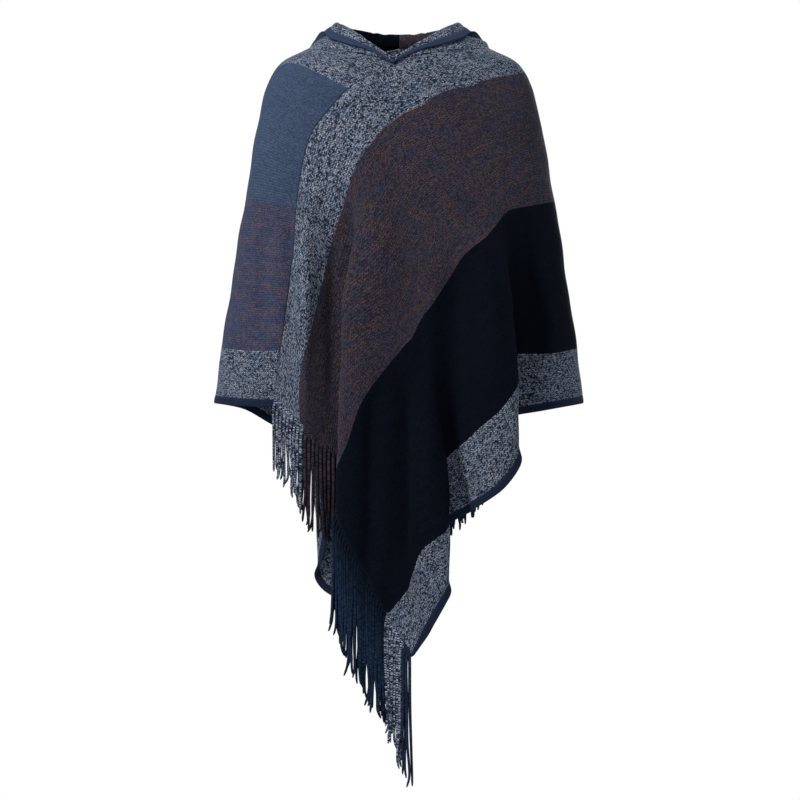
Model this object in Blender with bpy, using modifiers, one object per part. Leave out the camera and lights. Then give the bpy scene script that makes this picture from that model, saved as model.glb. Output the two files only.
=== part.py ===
"""Knitted wrap poncho with a hood, shaped as it hangs on a wearer, for Blender 4.5 (metres, +Z up).

Two long knitted panels are sewn end to side: the cut end of each is joined to the inner edge of the other,
so that the neck is a V at the front and the back and each panel's free corner hangs as a point. The free end
of each panel is fringed, the outer edge carries a narrow rib band, and a two-piece hood lies down behind the
neck.

The front faces -Y. The origin is where the wearer's shoulders and neck hold the garment.
"""

import math

import bmesh
import bpy
import numpy as np

# ------------------------------------------------------------------ driving sizes, in metres
CLOTH = 0.0025  # thickness of the knit
BAND = 0.012  # width of the rib band along the hem and the face edge of the hood
BAND_THICK = 0.0029
SEAM_GAP = 0.0003  # between pieces that are sewn together
NECK_GAP = 0.0013  # between the hood and the neck edge
CENTRE_GAP = 0.0006  # each half of the hood to its centre line
HEM_GAP = 0.0004  # between a panel and its rib band
FOLD_GAP = 0.0014  # added to it where the edge turns a sharp fold
FOLD_TURN = 0.10  # the turn that gets the whole of that gap, as 1 less the cosine
FRINGE_GAP = 0.0005  # between a panel's edge and its fringe
FRINGE_INSET = 0.009  # the fringe starts this far from the seam
HEM_Z = -0.532  # the level of the hem over the arms
NECK_HALF_ROUND = 0.36  # length of a ring from front seam to back seam, at the neck and at the hem
HEM_HALF_ROUND = 0.76
FLAP_Z = -1.100  # the level that the lowest ring of the form is drawn at

FRINGE_STRIP = 0.005  # height of the knotted strip that the strands grow from
STRANDS = 58  # on each fringed end
STRAND_WIDTH = 0.0040
STRAND_UNEVEN = 0.007  # neighbouring strands differ in length by up to this much
UNEVEN_RATE = 2.3
STRAND_LAYERS = (0.0, 0.0058, -0.0058)  # neighbouring strands hang in front of and behind each other
STRAND_TURN = 0.006  # each strand leaves the strip squarely and turns down over this distance
STRAND_OUT = 0.0035  # it then hangs about this far out from the strip
STRAND_APART = 0.0070  # and, seen from above, at least this far from the other strands
STRIP_APART = 0.0074  # and this far from the strip below it
SPREAD_STEPS = 400
STRIP_SAMPLES = 40  # points along the strip for each strand, an even number
STRAND_COLUMNS = ("share", "length")  # length of the strands along the fringed end, seam to point
STRAND_LENGTHS = (
    (0.00, 0.093),
    (0.08, 0.096),
    (0.15, 0.122),
    (0.50, 0.148),
    (0.62, 0.161),
    (0.75, 0.163),
    (0.86, 0.147),
    (0.93, 0.152),
    (1.00, 0.186),
)

PANEL_COLUMNS = 50
PANEL_ROWS = 21
HOOD_COLUMNS = 20  # in each half
QUARTER_SAMPLES = 97  # along a quarter of a ring
SEAM_SAMPLES = 240
SEAM_LEVELS = 61
LINE_SAMPLES = 2001

# The worn form: one ring of cloth for each level, from the neck seam down. A ring has its own height over
# the arms, at the front and at the back, so the upper ones tip over the shoulders. `drop` is the distance
# along the cloth as a share of neck to hem. `lean` shifts the front of a ring sideways, and `square` is the
# exponent of its outline, 2 for an ellipse.
RING_COLUMNS = (
    "drop", "z_side", "z_front", "z_back", "half_width", "front", "back", "square", "rise", "lean",
)
RINGS = {
    "neck_seam": (0.00, -0.009, -0.034, 0.002, 0.140, 0.090, 0.084, 2.0, 0.75, -0.010),
    "shoulder": (0.09, -0.028, -0.086, -0.052, 0.176, 0.108, 0.099, 2.1, 1.6, -0.005),
    "shoulder_point": (0.19, -0.064, -0.150, -0.118, 0.198, 0.121, 0.110, 2.2, 2.0, 0.0),
    "upper_arm": (0.30, -0.115, -0.212, -0.190, 0.2095, 0.129, 0.118, 2.3, 2.0, 0.0),
    "chest": (0.49, -0.232, -0.300, -0.290, 0.2305, 0.134, 0.124, 2.6, 2.0, 0.0),
    "elbow": (0.75, -0.382, -0.415, -0.410, 0.254, 0.132, 0.126, 2.6, 2.0, 0.0),
    "hem": (1.00, HEM_Z, HEM_Z, HEM_Z, 0.2755, 0.130, 0.126, 2.4, 2.0, 0.0),
    "flap": (2.00, FLAP_Z, FLAP_Z, FLAP_Z, 0.2755, 0.118, 0.116, 2.4, 2.0, 0.0),
}

# The seam that joins the cut end of one panel to the inner edge of the other, from the V down to the hem.
SEAM_COLUMNS = ("below_neck", "across")
SEAM = (
    (0.000, 0.000),
    (0.036, 0.062),
    (0.070, 0.093),
    (0.101, 0.118),
    (0.179, 0.137),
    (0.286, 0.147),
    (0.370, 0.158),
    (0.505, 0.176),
)

# The lower edge of each panel where it hangs as a point, seen from the panel's own side. `across` runs from
# the seam end to the arm; the edge is fringed up to the row named "tip" and has the rib band after it.
EDGE_COLUMNS = ("across", "height")
FRONT_EDGE = {
    "seam_end": (-0.186, HEM_Z),
    "fringe_1": (-0.142, -0.576),
    "fringe_2": (-0.112, -0.592),
    "fringe_3": (-0.088, -0.620),
    "fold_left": (-0.076, -0.644),
    "fringe_4": (-0.062, -0.704),
    "fringe_5": (-0.040, -0.786),
    "fringe_6": (-0.008, -0.880),
    "tip": (0.019, -0.910),
    "hem_1": (0.027, -0.864),
    "hem_2": (0.034, -0.827),
    "hem_3": (0.045, -0.800),
    "fold_low": (0.056, -0.770),
    "hem_4": (0.070, -0.738),
    "hem_5": (0.090, -0.704),
    "hem_6": (0.125, -0.662),
    "hem_7": (0.140, -0.620),
    "hem_8": (0.148, -0.600),
    "hem_9": (0.155, -0.584),
    "fold_high": (0.166, -0.567),
    "hem_10": (0.182, -0.548),
    "arm": (0.215, -0.537),
    "arm_side": (0.2755, -0.527),
}
BACK_EDGE = {
    "seam_end": (-0.186, HEM_Z),
    "fringe_1": (-0.137, -0.553),
    "fringe_2": (-0.112, -0.577),
    "fringe_3": (-0.078, -0.608),
    "fringe_4": (-0.050, -0.670),
    "fringe_5": (-0.032, -0.714),
    "fringe_6": (0.004, -0.806),
    "tip": (0.023, -0.850),
    "hem_1": (0.050, -0.840),
    "hem_2": (0.088, -0.826),
    "hem_3": (0.110, -0.782),
    "hem_4": (0.123, -0.735),
    "hem_5": (0.130, -0.685),
    "hem_6": (0.144, -0.626),
    "hem_7": (0.165, -0.580),
    "hem_8": (0.195, -0.556),
    "arm": (0.239, -0.534),
    "arm_side": (0.2755, -0.527),
}

# The hanging folds. A fold runs from `top` to full depth at `full`, at `across_top` there and `across_low`
# at the tip. `overlap` pulls the cloth over itself, `step` sets the side before the fold forward of the side
# after it (negative: behind it), and `ridge` lifts the cloth outwards.
FOLD_SIDE = (0.02, 0.07)  # depths between which a fold grows, so that none reaches the other side of the body
FOLD_LOWEST = -0.85  # the height at which a fold has come to `across_low`
FOLD_NEAR = 1.3  # columns are closer together within this many half widths of a fold
OVERLAP_WEIGHT = 2.6  # by this much, as a share, at a fold that overlaps
RIDGE_WEIGHT = 0.4  # and at one that does not
FOLD_COLUMNS = ("across_top", "across_low", "top", "full", "half_width", "overlap", "step", "ridge")
FRONT_FOLDS = {
    "left_main": (-0.064, -0.0745, -0.180, -0.420, 0.026, 0.034, -0.026, 0.0),
    "left_ridge": (-0.140, -0.142, -0.180, -0.420, 0.020, 0.000, 0.0, 0.008),
    "right_high": (0.153, 0.166, -0.200, -0.500, 0.026, 0.030, 0.025, 0.0),
    "right_low": (0.058, 0.056, -0.460, -0.690, 0.024, 0.030, 0.021, 0.0),
    "centre_ridge": (0.010, 0.000, -0.300, -0.600, 0.036, 0.000, 0.0, 0.007),
}
BACK_FOLDS = {
    "left_main": (-0.062, -0.058, -0.240, -0.540, 0.026, 0.022, -0.020, 0.0),
    "right_high": (0.150, 0.118, -0.220, -0.560, 0.028, 0.024, 0.020, 0.0),
    "right_low": (0.060, 0.066, -0.420, -0.700, 0.026, 0.014, 0.016, 0.0),
    "centre_ridge": (0.010, 0.016, -0.320, -0.620, 0.034, 0.000, 0.0, 0.007),
}

# The hood, lying down, from the V (around 0) to the centre of the back (around 1). The cloth rises from the
# neck seam to a crest. In front of the shoulder it is turned out over itself by the length `turned`. Behind
# the shoulder it hangs down the back as a bag: `bottom` is the lowest point of its fall, `return` lies on its
# way back up and `edge` is the free edge of the band. Points are (across, depth, height).
TURNED_COLUMNS = ("around", "crest", "turned")
HOOD_TURNED = (
    (0.00, (0.000, -0.0900, -0.0215), 0.0130),
    (0.12, (0.024, -0.0800, -0.0100), 0.0200),
    (0.24, (0.050, -0.0600, 0.0070), 0.0300),
    (0.36, (0.072, -0.0340, 0.0220), 0.0340),
    (0.46, (0.082, -0.0100, 0.0280), 0.0280),
    (0.56, (0.084, 0.0140, 0.0285), 0.0230),
)
BAG_COLUMNS = ("around", "crest", "bottom", "return", "edge")
HOOD_BAG = (
    (0.60, (0.081, 0.0230, 0.0287), (0.101, 0.0320, 0.0210),
     (0.105, 0.0340, 0.0150), (0.116, 0.0365, 0.0235)),
    (0.69, (0.073, 0.0420, 0.0275), (0.130, 0.0790, -0.0140),
     (0.138, 0.0830, -0.0060), (0.128, 0.0790, 0.0110)),
    (0.82, (0.048, 0.0600, 0.0240), (0.101, 0.1260, -0.1180),
     (0.107, 0.1420, -0.0520), (0.094, 0.1200, 0.0140)),
    (0.92, (0.023, 0.0700, 0.0215), (0.050, 0.1380, -0.2060),
     (0.054, 0.1640, -0.0980), (0.045, 0.1400, 0.0100)),
    (1.00, (0.000, 0.0740, 0.0205), (0.000, 0.1420, -0.2360),
     (0.000, 0.1710, -0.1160), (0.000, 0.1480, 0.0040)),
)
CREST_ROLL = 0.009  # how far the crest stands out before the cloth falls
CREST_RISE = 0.15  # the cloth beyond the crest is higher than it by this share of the roll, in front
CREST_DROP = 0.30  # and lower by this share of it behind
TURNED_FALL = ((0.9, 0.20), (0.8, 0.55))  # points of the turned-out part: out in rolls, down in shares of it
TURNED_CLEAR = 0.0066  # from the cloth below to the free edge of the turned-out part
FALL_BULGE = 0.010
BEHIND_NECK = (0.60, 0.85)  # between these places the hood goes over from lying on the shoulder to hanging
BACK_ROLL = 0.019  # the same as CREST_ROLL, behind the neck, where the cloth has to clear the panels
SIDE_SWELL = {-1: 0.003, 1: 0.011}  # how far the cloth bags out over the shoulder, on each side
SWELL_AT = 0.56
SWELL_SPREAD = 0.15
SWELL_SINK = 0.4  # the cloth above the swell sinks by this share of it
SLACK_AT = 0.35  # key points of the rise, as shares of the way from the neck seam to the crest
BED_AT = 0.68
RISE_FOOT = 0.006  # the hood leaves the neck seam in the direction of the panels for this far
FOOT_DROP = 0.02  # that direction is taken from the neck seam to this drop
RIM_MOST = 0.9  # the band takes at most this share of the last span of the hood
HOOD_STEPS = (1, 1, 1, 2, 2, 1, 3, 4, 3)  # spans of mesh between the key points of a section


def column(table, names, name):
    """One named column of a table as an array."""
    rows = table.values() if isinstance(table, dict) else table
    return np.array([row[names.index(name)] for row in rows], float)


# ------------------------------------------------------------------ curves
def unit(vectors):
    """A row of vectors, each made 1 long."""
    return vectors / np.maximum(np.linalg.norm(vectors, axis=1, keepdims=True), 1e-9)


def smooth(x, stations, values, level_end=False):
    """A curve through the values that has no overshoot between its stations (monotone cubic)."""
    x = np.clip(x, stations[0], stations[-1])
    gaps = np.diff(stations)
    slopes = np.diff(values) / gaps
    tangent = np.concatenate([[slopes[0]], np.zeros(len(slopes) - 1), [0 if level_end else slopes[-1]]])
    for i in range(1, len(slopes)):
        if slopes[i - 1] * slopes[i] > 0:
            before, after = 2 * gaps[i] + gaps[i - 1], gaps[i] + 2 * gaps[i - 1]
            tangent[i] = (before + after) / (before / slopes[i - 1] + after / slopes[i])
    k = np.clip(np.searchsorted(stations, x, side="right") - 1, 0, len(gaps) - 1)
    t = (x - stations[k]) / gaps[k]
    rise = values[k + 1] - values[k]
    cubic = gaps[k] * (tangent[k] * t * (1 - t) ** 2 - tangent[k + 1] * t**2 * (1 - t))
    return values[k] + rise * t**2 * (3 - 2 * t) + cubic


def spline(t, stations, points):
    """A smooth curve or surface through rows of points, one row for each station."""
    tangents = np.gradient(points, stations, axis=0)
    k = np.clip(np.searchsorted(stations, t, side="right") - 1, 0, len(stations) - 2)
    gap = (stations[k + 1] - stations[k])[..., None]
    s = ((t - stations[k])[..., None]) / gap
    at = (k, np.arange(points.shape[1])) if points.ndim == 3 else (k,)
    after = (k + 1, np.arange(points.shape[1])) if points.ndim == 3 else (k + 1,)
    hermite = (1 + 2 * s) * (1 - s) ** 2 * points[at] + s * (1 - s) ** 2 * gap * tangents[at]
    return hermite + s**2 * (3 - 2 * s) * points[after] + s**2 * (s - 1) * gap * tangents[after]


def through(points, at):
    """Points on a smooth curve through a row of points; `at` counts in points and parts of spans."""
    knots = np.concatenate([[0], np.cumsum(np.sqrt(np.linalg.norm(np.diff(points, axis=0), axis=1)))])
    return spline(np.interp(at, np.arange(len(points)), knots), knots, points)


def ease(x, start, end):
    """0 before start, 1 after end, and a smooth step between."""
    t = np.clip((x - start) / (end - start), 0, 1)
    return t * t * (3 - 2 * t)


# ------------------------------------------------------------------ the worn form
def ring_points(ring, around):
    """Points on one ring. `around` is 0 at the front, 0.5 and -0.5 over the two arms, and 1 behind."""
    _, z_side, z_front, z_back, half_width, front, back, square, rise, lean = ring
    angle = np.linspace(0, math.pi / 2, QUARTER_SAMPLES)
    x = np.zeros_like(around)
    y = np.zeros_like(around)
    share = np.abs(around)
    ahead = share <= 0.5
    quarter = np.where(ahead, share, 1 - share) / 0.5
    for part, depth, sign in ((ahead, front, -1), (~ahead, back, 1)):
        outline_x = half_width * np.sin(angle) ** (2 / square)
        outline_y = depth * np.cos(angle) ** (2 / square)
        along = np.concatenate([[0], np.cumsum(np.hypot(np.diff(outline_x), np.diff(outline_y)))])
        at = quarter[part] * along[-1]
        x[part] = np.interp(at, along, outline_x)
        y[part] = sign * np.interp(at, along, outline_y)
    middle = np.where(ahead, z_front, z_back)
    z = middle + (z_side - middle) * np.sin(quarter * math.pi / 2) ** rise
    x = np.sign(around) * x + lean * np.where(ahead, 1 - quarter, 0)
    return np.stack([x, y, z], axis=-1)


def form(around, drop):
    """The worn form: a point for each pair of a place around the body and a drop down the cloth."""
    around = (around + 1) % 2 - 1
    stations = column(RINGS, RING_COLUMNS, "drop")
    points = np.stack([ring_points(ring, around) for ring in RINGS.values()])
    return spline(drop, stations, points)


def seam_places(drops, behind):
    """Where the seam crosses each ring, as a place around the body."""
    below = column(SEAM, SEAM_COLUMNS, "below_neck")
    across = column(SEAM, SEAM_COLUMNS, "across")
    samples = np.linspace(0.55, 1.0, SEAM_SAMPLES) if behind else np.linspace(-0.45, 0.0, SEAM_SAMPLES)
    neck_z = RINGS["neck_seam"][3 if behind else 2]
    neck_x = 0.0 if behind else RINGS["neck_seam"][-1]
    places = []
    for drop in drops:
        points = form(samples, np.full_like(samples, min(drop, 1.0)))
        wanted = smooth(neck_z - points[:, 2], below, across)
        wanted = wanted if behind else neck_x - wanted
        places.append(samples[np.argmin(np.abs(points[:, 0] - wanted))])
    places = np.array(places)
    places[0] = 1.0 if behind else 0.0
    return np.convolve(np.pad(places, 2, mode="edge"), np.full(5, 0.2), mode="valid")


class Panel:
    """One of the two panels, worked out as seen from its own side: the back one is turned half round."""

    def __init__(self, turned, edge, folds):
        self.turned = turned
        self.edge = edge
        self.folds = folds
        self.levels = np.linspace(0, 1, SEAM_LEVELS)
        front = seam_places(self.levels, behind=False)
        back = seam_places(self.levels, behind=True)
        self.first = back - 1 if turned else front
        self.last = front + 1 if turned else back
        self.first[0], self.last[0] = 0.0, 1.0

    def surface(self, share, drop):
        """Cloth points. `share` runs from the inner seam (0) over the arm (0.5) to the cut end (1)."""
        level = np.clip(drop, 0, 1)
        trim = SEAM_GAP / (NECK_HALF_ROUND + (HEM_HALF_ROUND - NECK_HALF_ROUND) * np.sqrt(level))
        share = np.clip(share, trim, 1 - trim)
        first = np.interp(level, self.levels, self.first)
        last = np.interp(level, self.levels, self.last)
        before = first + (0.5 - first) * np.clip(share / 0.5, 0, None)
        after = 0.5 + (last - 0.5) * (share / 0.5 - 1)
        place = np.where(share < 0.5, before, after)
        points = form(place + 1 if self.turned else place, drop)
        if self.turned:
            points = points * (-1, -1, 1)
        points = self.folded(points)
        return points * (-1, -1, 1) if self.turned else points

    def folded(self, points):
        """The hanging folds, on the part of the panel that is on its own side of the body."""
        x, y, z = points[..., 0].copy(), points[..., 1].copy(), points[..., 2]
        own_side = ease(-y, *FOLD_SIDE)
        base_x = x.copy()
        for across_top, across_low, top, full, half_width, overlap, step, ridge in self.folds.values():
            depth = ease(-z, -top, -full) * own_side
            centre = across_top + (across_low - across_top) * ease(-z, -top, -FOLD_LOWEST)
            q = (base_x - centre) / half_width
            x -= overlap * depth * math.sqrt(2 * math.e) * q * np.exp(-q * q)
            y += step * depth * math.sqrt(math.e) * q * np.exp(-q * q / 2)
            y -= ridge * depth * np.exp(-q * q)
        return np.stack([x, y, z], axis=-1)

    def lowest_drops(self, shares):
        """How far down the cloth each column of the panel reaches."""
        across = column(self.edge, EDGE_COLUMNS, "across")
        height = column(self.edge, EDGE_COLUMNS, "height")
        places = self.places_at_hem(shares)
        x = form(places + 1 if self.turned else places, np.ones_like(places))[:, 0]
        x = -x if self.turned else x
        height_of_arm = self.edge["arm_side"][1]
        behind_arm = height_of_arm + (HEM_Z - height_of_arm) * ease(shares, 0.5, 1.0)
        wanted = np.where(shares > 0.5, behind_arm, smooth(x, across, height))
        drops = np.linspace(0.9, RINGS["flap"][0], LINE_SAMPLES)
        heights = form(np.full_like(drops, 0.25), drops)[:, 2]
        return np.interp(-wanted, -heights, drops)

    def places_at_hem(self, shares):
        """Where each column crosses the hem ring, as a place around the body."""
        first, last = self.first[-1], self.last[-1]
        before = first + (0.5 - first) * shares / 0.5
        after = 0.5 + (last - 0.5) * (shares / 0.5 - 1)
        return np.where(shares < 0.5, before, after)

    def tip_share(self):
        """The column that ends in the panel's hanging point."""
        shares = np.linspace(0, 0.5, LINE_SAMPLES)
        places = self.places_at_hem(shares)
        x = form(places + 1 if self.turned else places, np.ones_like(places))[:, 0]
        x = -x if self.turned else x
        return float(np.interp(self.edge["tip"][0], x, shares))

    def column_shares(self, count):
        """Columns from seam to seam, closer together at the folds, one on the tip and one over the arm."""
        fine = np.linspace(0, 1, LINE_SAMPLES)
        places = self.places_at_hem(fine)
        points = form(places + 1 if self.turned else places, np.ones_like(places))
        x = -points[:, 0] if self.turned else points[:, 0]
        weight = np.ones_like(fine)
        for across_top, across_low, _, _, half_width, overlap, _, _ in self.folds.values():
            near = np.exp(-(((x - (across_top + across_low) / 2) / (FOLD_NEAR * half_width)) ** 2))
            weight += np.where(fine < 0.5, (OVERLAP_WEIGHT if overlap else RIDGE_WEIGHT) * near, 0)
        speed = np.linalg.norm(np.gradient(points, axis=0), axis=1) * weight
        travel = np.concatenate([[0], np.cumsum((speed[1:] + speed[:-1]) / 2)])
        shares = np.interp(np.linspace(0, travel[-1], count), travel, fine)
        for exact in (self.tip_share(), 0.5):
            shares[np.argmin(np.abs(shares - exact))] = exact
        return shares

    def grid(self, columns, rows):
        """Points of the panel, [column, row], and the share of each column."""
        shares = self.column_shares(columns)
        lowest = self.lowest_drops(shares)
        down = np.linspace(0, 1, rows)
        drops = SEAM_GAP + down[None, :] * (lowest[:, None] - SEAM_GAP)
        spread = np.repeat(shares[:, None], rows, axis=1)
        flat = self.surface(spread.ravel(), drops.ravel())
        return flat.reshape(columns, rows, 3), shares


# ------------------------------------------------------------------ making meshes
def material(name, colour, roughness):
    made = bpy.data.materials.new(name)
    made.use_nodes = True
    shader = made.node_tree.nodes["Principled BSDF"]
    shader.inputs["Base Color"].default_value = (*colour, 1)
    shader.inputs["Roughness"].default_value = roughness
    shader.inputs["Metallic"].default_value = 0.0
    return made


def grid_object(name, grid, thickness, finish, collection):
    """A sheet of cloth from a grid of points, made a wall by Solidify."""
    mesh = bpy.data.meshes.new(name)
    columns, rows = grid.shape[:2]
    build = bmesh.new()
    points = [[build.verts.new(grid[i, j]) for j in range(rows)] for i in range(columns)]
    for i in range(columns - 1):
        for j in range(rows - 1):
            build.faces.new((points[i][j], points[i][j + 1], points[i + 1][j + 1], points[i + 1][j]))
    bmesh.ops.recalc_face_normals(build, faces=build.faces)
    build.to_mesh(mesh)
    build.free()
    mesh.shade_smooth()
    piece = bpy.data.objects.new(name, mesh)
    collection.objects.link(piece)
    mesh.materials.append(finish)
    wall = piece.modifiers.new("Wall", "SOLIDIFY")
    wall.thickness = thickness
    wall.offset = 0
    return piece


def edge_frames(line, inner):
    """For a line along a cloth edge and the line inside it: the way out of the edge, and the normal."""
    steps = unit(np.diff(line, axis=0))
    along = unit(np.concatenate([steps[:1], steps[1:] + steps[:-1], steps[-1:]]))
    inward = inner - line
    inward -= (inward * along).sum(1, keepdims=True) * along
    inward = unit(inward)
    return -inward, np.cross(along, inward)


def evenly(line, inner, count, start):
    """The same two lines with evenly spaced points, from a distance along them."""
    along = np.concatenate([[0], np.cumsum(np.linalg.norm(np.diff(line, axis=0), axis=1))])
    at = np.linspace(start, along[-1], count)
    return [np.stack([np.interp(at, along, part[:, k]) for k in range(3)], axis=1) for part in (line, inner)]


def widest_near(values):
    """For each value, the largest of it and the two beside it."""
    padded = np.pad(values, 1, mode="edge")
    return np.maximum(values, np.maximum(padded[:-2], padded[2:]))


def band_grid(line, inner, far=None):
    """A narrow strip sewn on outside a cloth edge: as wide as the band, or out to the points `far`."""
    out, normal = edge_frames(line, inner)
    far = line + out * (HEM_GAP + BAND) if far is None else far
    way = unit(far - line)
    turn = np.pad(1 - (normal[1:] * normal[:-1]).sum(axis=1), (0, 1))
    bend = widest_near(widest_near(np.maximum(turn, 1 - (out * way).sum(axis=1))))
    gap = HEM_GAP + FOLD_GAP * np.minimum(bend / FOLD_TURN, 1)[:, None]
    return np.stack([line + way * gap, far + way * (gap - HEM_GAP)], axis=1)


def wave(index, rate):
    """A repeatable uneven number from -1 to 1 for each strand."""
    return math.sin(index * rate) * math.cos(index * rate * 0.37 + 1.0)


def spread_apart(places, feet):
    """Strand places, seen from above, pushed apart until none touches another or the strip below it."""
    places = places.copy()
    index = np.arange(len(places))
    is_below = (feet[None, :, 2] < feet[:, None, 2]) & (index[None, :] > index[:, None])
    for _ in range(SPREAD_STEPS):
        for others, apart, counts, share in (
            (places, STRAND_APART, index[None, :] != index[:, None], 0.5),
            (feet[:, :2], STRIP_APART, is_below, 1.0),
        ):
            away = places[:, None] - others[None]
            distance = np.maximum(np.linalg.norm(away, axis=2), 1e-6)
            push = np.where(counts, np.maximum(apart - distance, 0), 0) * share
            places += (away / distance[..., None] * push[..., None]).sum(axis=1) / 2
    return places


def fringe_object(name, line, inner, finish, collection):
    """A knotted strip under a cloth edge with its strands, each drawn out of the strip, as one body."""
    line, inner = evenly(line, inner, STRIP_SAMPLES * STRANDS + 1, FRINGE_INSET)
    out, normal = edge_frames(line, inner)
    length = np.linalg.norm(np.diff(line, axis=0), axis=1).sum()
    half_strand = int(round(STRAND_WIDTH / 2 / length * (len(line) - 1)))
    middles = STRIP_SAMPLES // 2 + STRIP_SAMPLES * np.arange(STRANDS)
    layers = np.resize(STRAND_LAYERS, STRANDS)[:, None]
    feet = line[middles] + out[middles] * (FRINGE_GAP + FRINGE_STRIP)
    places = spread_apart((feet + out[middles] * STRAND_OUT + normal[middles] * layers)[:, :2], feet)
    build = bmesh.new()
    sections = []
    ends = np.stack([middles - half_strand, middles + half_strand], axis=1).ravel()
    for at in (0, *ends, len(line) - 1):
        half = normal[at] * CLOTH / 2
        top = line[at] + out[at] * FRINGE_GAP
        low = top + out[at] * FRINGE_STRIP
        sections.append([build.verts.new(p) for p in (top + half, low + half, low - half, top - half)])
    for k in range(len(sections) - 1):
        here, there = sections[k], sections[k + 1]
        for side in range(4):
            after = (side + 1) % 4
            is_foot = side == 1 and k % 2 == 1
            if is_foot:
                corners = [here[2], here[1], there[1], there[2]]
                draw_strand(build, corners, k // 2, out[middles[k // 2]], places[k // 2])
            else:
                build.faces.new((here[after], here[side], there[side], there[after]))
    build.faces.new(sections[0])
    build.faces.new(sections[-1][::-1])
    bmesh.ops.recalc_face_normals(build, faces=build.faces)
    bmesh.ops.triangulate(build, faces=build.faces)
    mesh = bpy.data.meshes.new(name)
    build.to_mesh(mesh)
    build.free()
    piece = bpy.data.objects.new(name, mesh)
    collection.objects.link(piece)
    mesh.materials.append(finish)


def draw_strand(build, corners, strand, out, place):
    """One strand, four-sided: out of its foot on the strip, over to its place, and straight down."""
    feet = np.array([v.co for v in corners])
    foot = feet.mean(axis=0)
    shares, lengths = (column(STRAND_LENGTHS, STRAND_COLUMNS, name) for name in STRAND_COLUMNS)
    length = np.interp(strand / (STRANDS - 1), shares, lengths) + STRAND_UNEVEN * wave(strand, UNEVEN_RATE)
    half = STRAND_WIDTH / 2
    square = np.array([(-half, half, 0), (-half, -half, 0), (half, -half, 0), (half, half, 0)])
    if np.cross(feet[1] - feet[0], feet[2] - feet[1])[2] > 0:
        square = square[::-1]
    turn = min(range(4), key=lambda t: np.sum((feet - foot - np.roll(square, -t, axis=0)) ** 2))
    square = np.roll(square, -turn, axis=0)
    hanging = np.array([*place, foot[2] - STRAND_TURN])
    rings = [
        (feet + out * STRAND_TURN + (foot + hanging) / 2 + square) / 2,
        hanging - (0, 0, STRAND_TURN) + square,
        hanging - (0, 0, length / 2) + square,
        hanging - (0, 0, length - STRAND_TURN) + square,
    ]
    ring = corners
    for points in rings:
        after = [build.verts.new(point) for point in points]
        for i in range(4):
            build.faces.new((ring[i], ring[(i + 1) % 4], after[(i + 1) % 4], after[i]))
        ring = after
    build.faces.new(ring)


# ------------------------------------------------------------------ the hood
def turned_out(around, crest, turned):
    """The points of a section whose cloth is turned out: down along the outside of its own rise."""
    seam = form(np.array([around]), np.zeros(1))[0]
    seam[0] -= RINGS["neck_seam"][-1] * (1 - around) ** 2
    down = seam - crest
    down /= np.linalg.norm(down)
    across = np.cross(down, (0, 0, 1)) if abs(down[2]) < 0.99 else np.array([-1.0, 0, 0])
    out = np.cross(across, down)
    out /= np.linalg.norm(out)
    out = out if out[2] > 0 or out[1] < -0.5 else -out
    bottom, back = (crest + out * CREST_ROLL * rolls + down * turned * part for rolls, part in TURNED_FALL)
    return bottom, back, crest + out * TURNED_CLEAR + down * turned


def hood_key_points():
    """For each row of the two tables: its place around the neck, and its four key points."""
    places = []
    points = []
    for around, crest, turned in HOOD_TURNED:
        places.append(around)
        points.append((crest, *turned_out(around, np.array(crest), turned)))
    for around, *keys in HOOD_BAG:
        places.append(around)
        points.append(keys)
    return np.array(places), np.array(points)


def hood_sections(side, count, steps):
    """The cloth of one half of the hood, [section, point], from the neck seam to the start of the band."""
    around = np.linspace(0, 1, count)
    places, points = hood_key_points()
    crest, bottom, back, edge = (
        np.stack([smooth(around, places, points[:, key, axis], axis > 0) for axis in range(3)], axis=1)
        for key in range(4))
    for part in (crest, bottom, back, edge):
        part *= (side, 1, 1)
        part[:, 0] += RINGS["neck_seam"][-1] * (1 - around) ** 2
    seam = form(side * around, np.zeros(count))
    below = form(side * around, np.full(count, FOOT_DROP))
    away = unit((bottom - crest) * (1, 1, 0))
    behind = ease(around, *BEHIND_NECK)[:, None]
    over = crest + away * (CREST_ROLL / 2 + (BACK_ROLL - CREST_ROLL / 2) * behind)
    over += (0, 0, CREST_ROLL) * (CREST_RISE - (CREST_RISE + CREST_DROP) * behind)
    middle = (over + bottom) / 2 + away * FALL_BULGE * behind
    swell = SIDE_SWELL[side] * np.exp(-(((around - SWELL_AT) / SWELL_SPREAD) ** 2))[:, None]
    rise = unit(seam - below)
    foot = seam + rise * NECK_GAP
    start = seam + rise * RISE_FOOT
    slack = seam + SLACK_AT * (crest - seam) + unit(seam * (1, 1, 0)) * swell
    bed = seam + BED_AT * (crest - seam) - (0, 0, SWELL_SINK) * swell
    last = edge - back
    length = np.linalg.norm(last, axis=1, keepdims=True)
    rim = edge - last * np.minimum((BAND + HEM_GAP) / length, RIM_MOST)
    path = np.stack([foot, start, slack, bed, crest, over, middle, bottom, back, rim])
    at = np.concatenate([[0]] + [k + np.linspace(0, 1, n + 1)[1:] for k, n in enumerate(steps)])
    return np.stack([through(path[:, k], at) for k in range(count)]), edge


def centre_gap(half, side):
    """A half drawn back from the centre seams by half a gap, at the V and at the back."""
    half = half.copy()
    half[0, :, 0] += side * CENTRE_GAP
    half[-1, :, 0] += side * CENTRE_GAP
    return half


# ------------------------------------------------------------------ the garment
def clear_scene():
    for old in list(bpy.data.objects):
        bpy.data.objects.remove(old)


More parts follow.
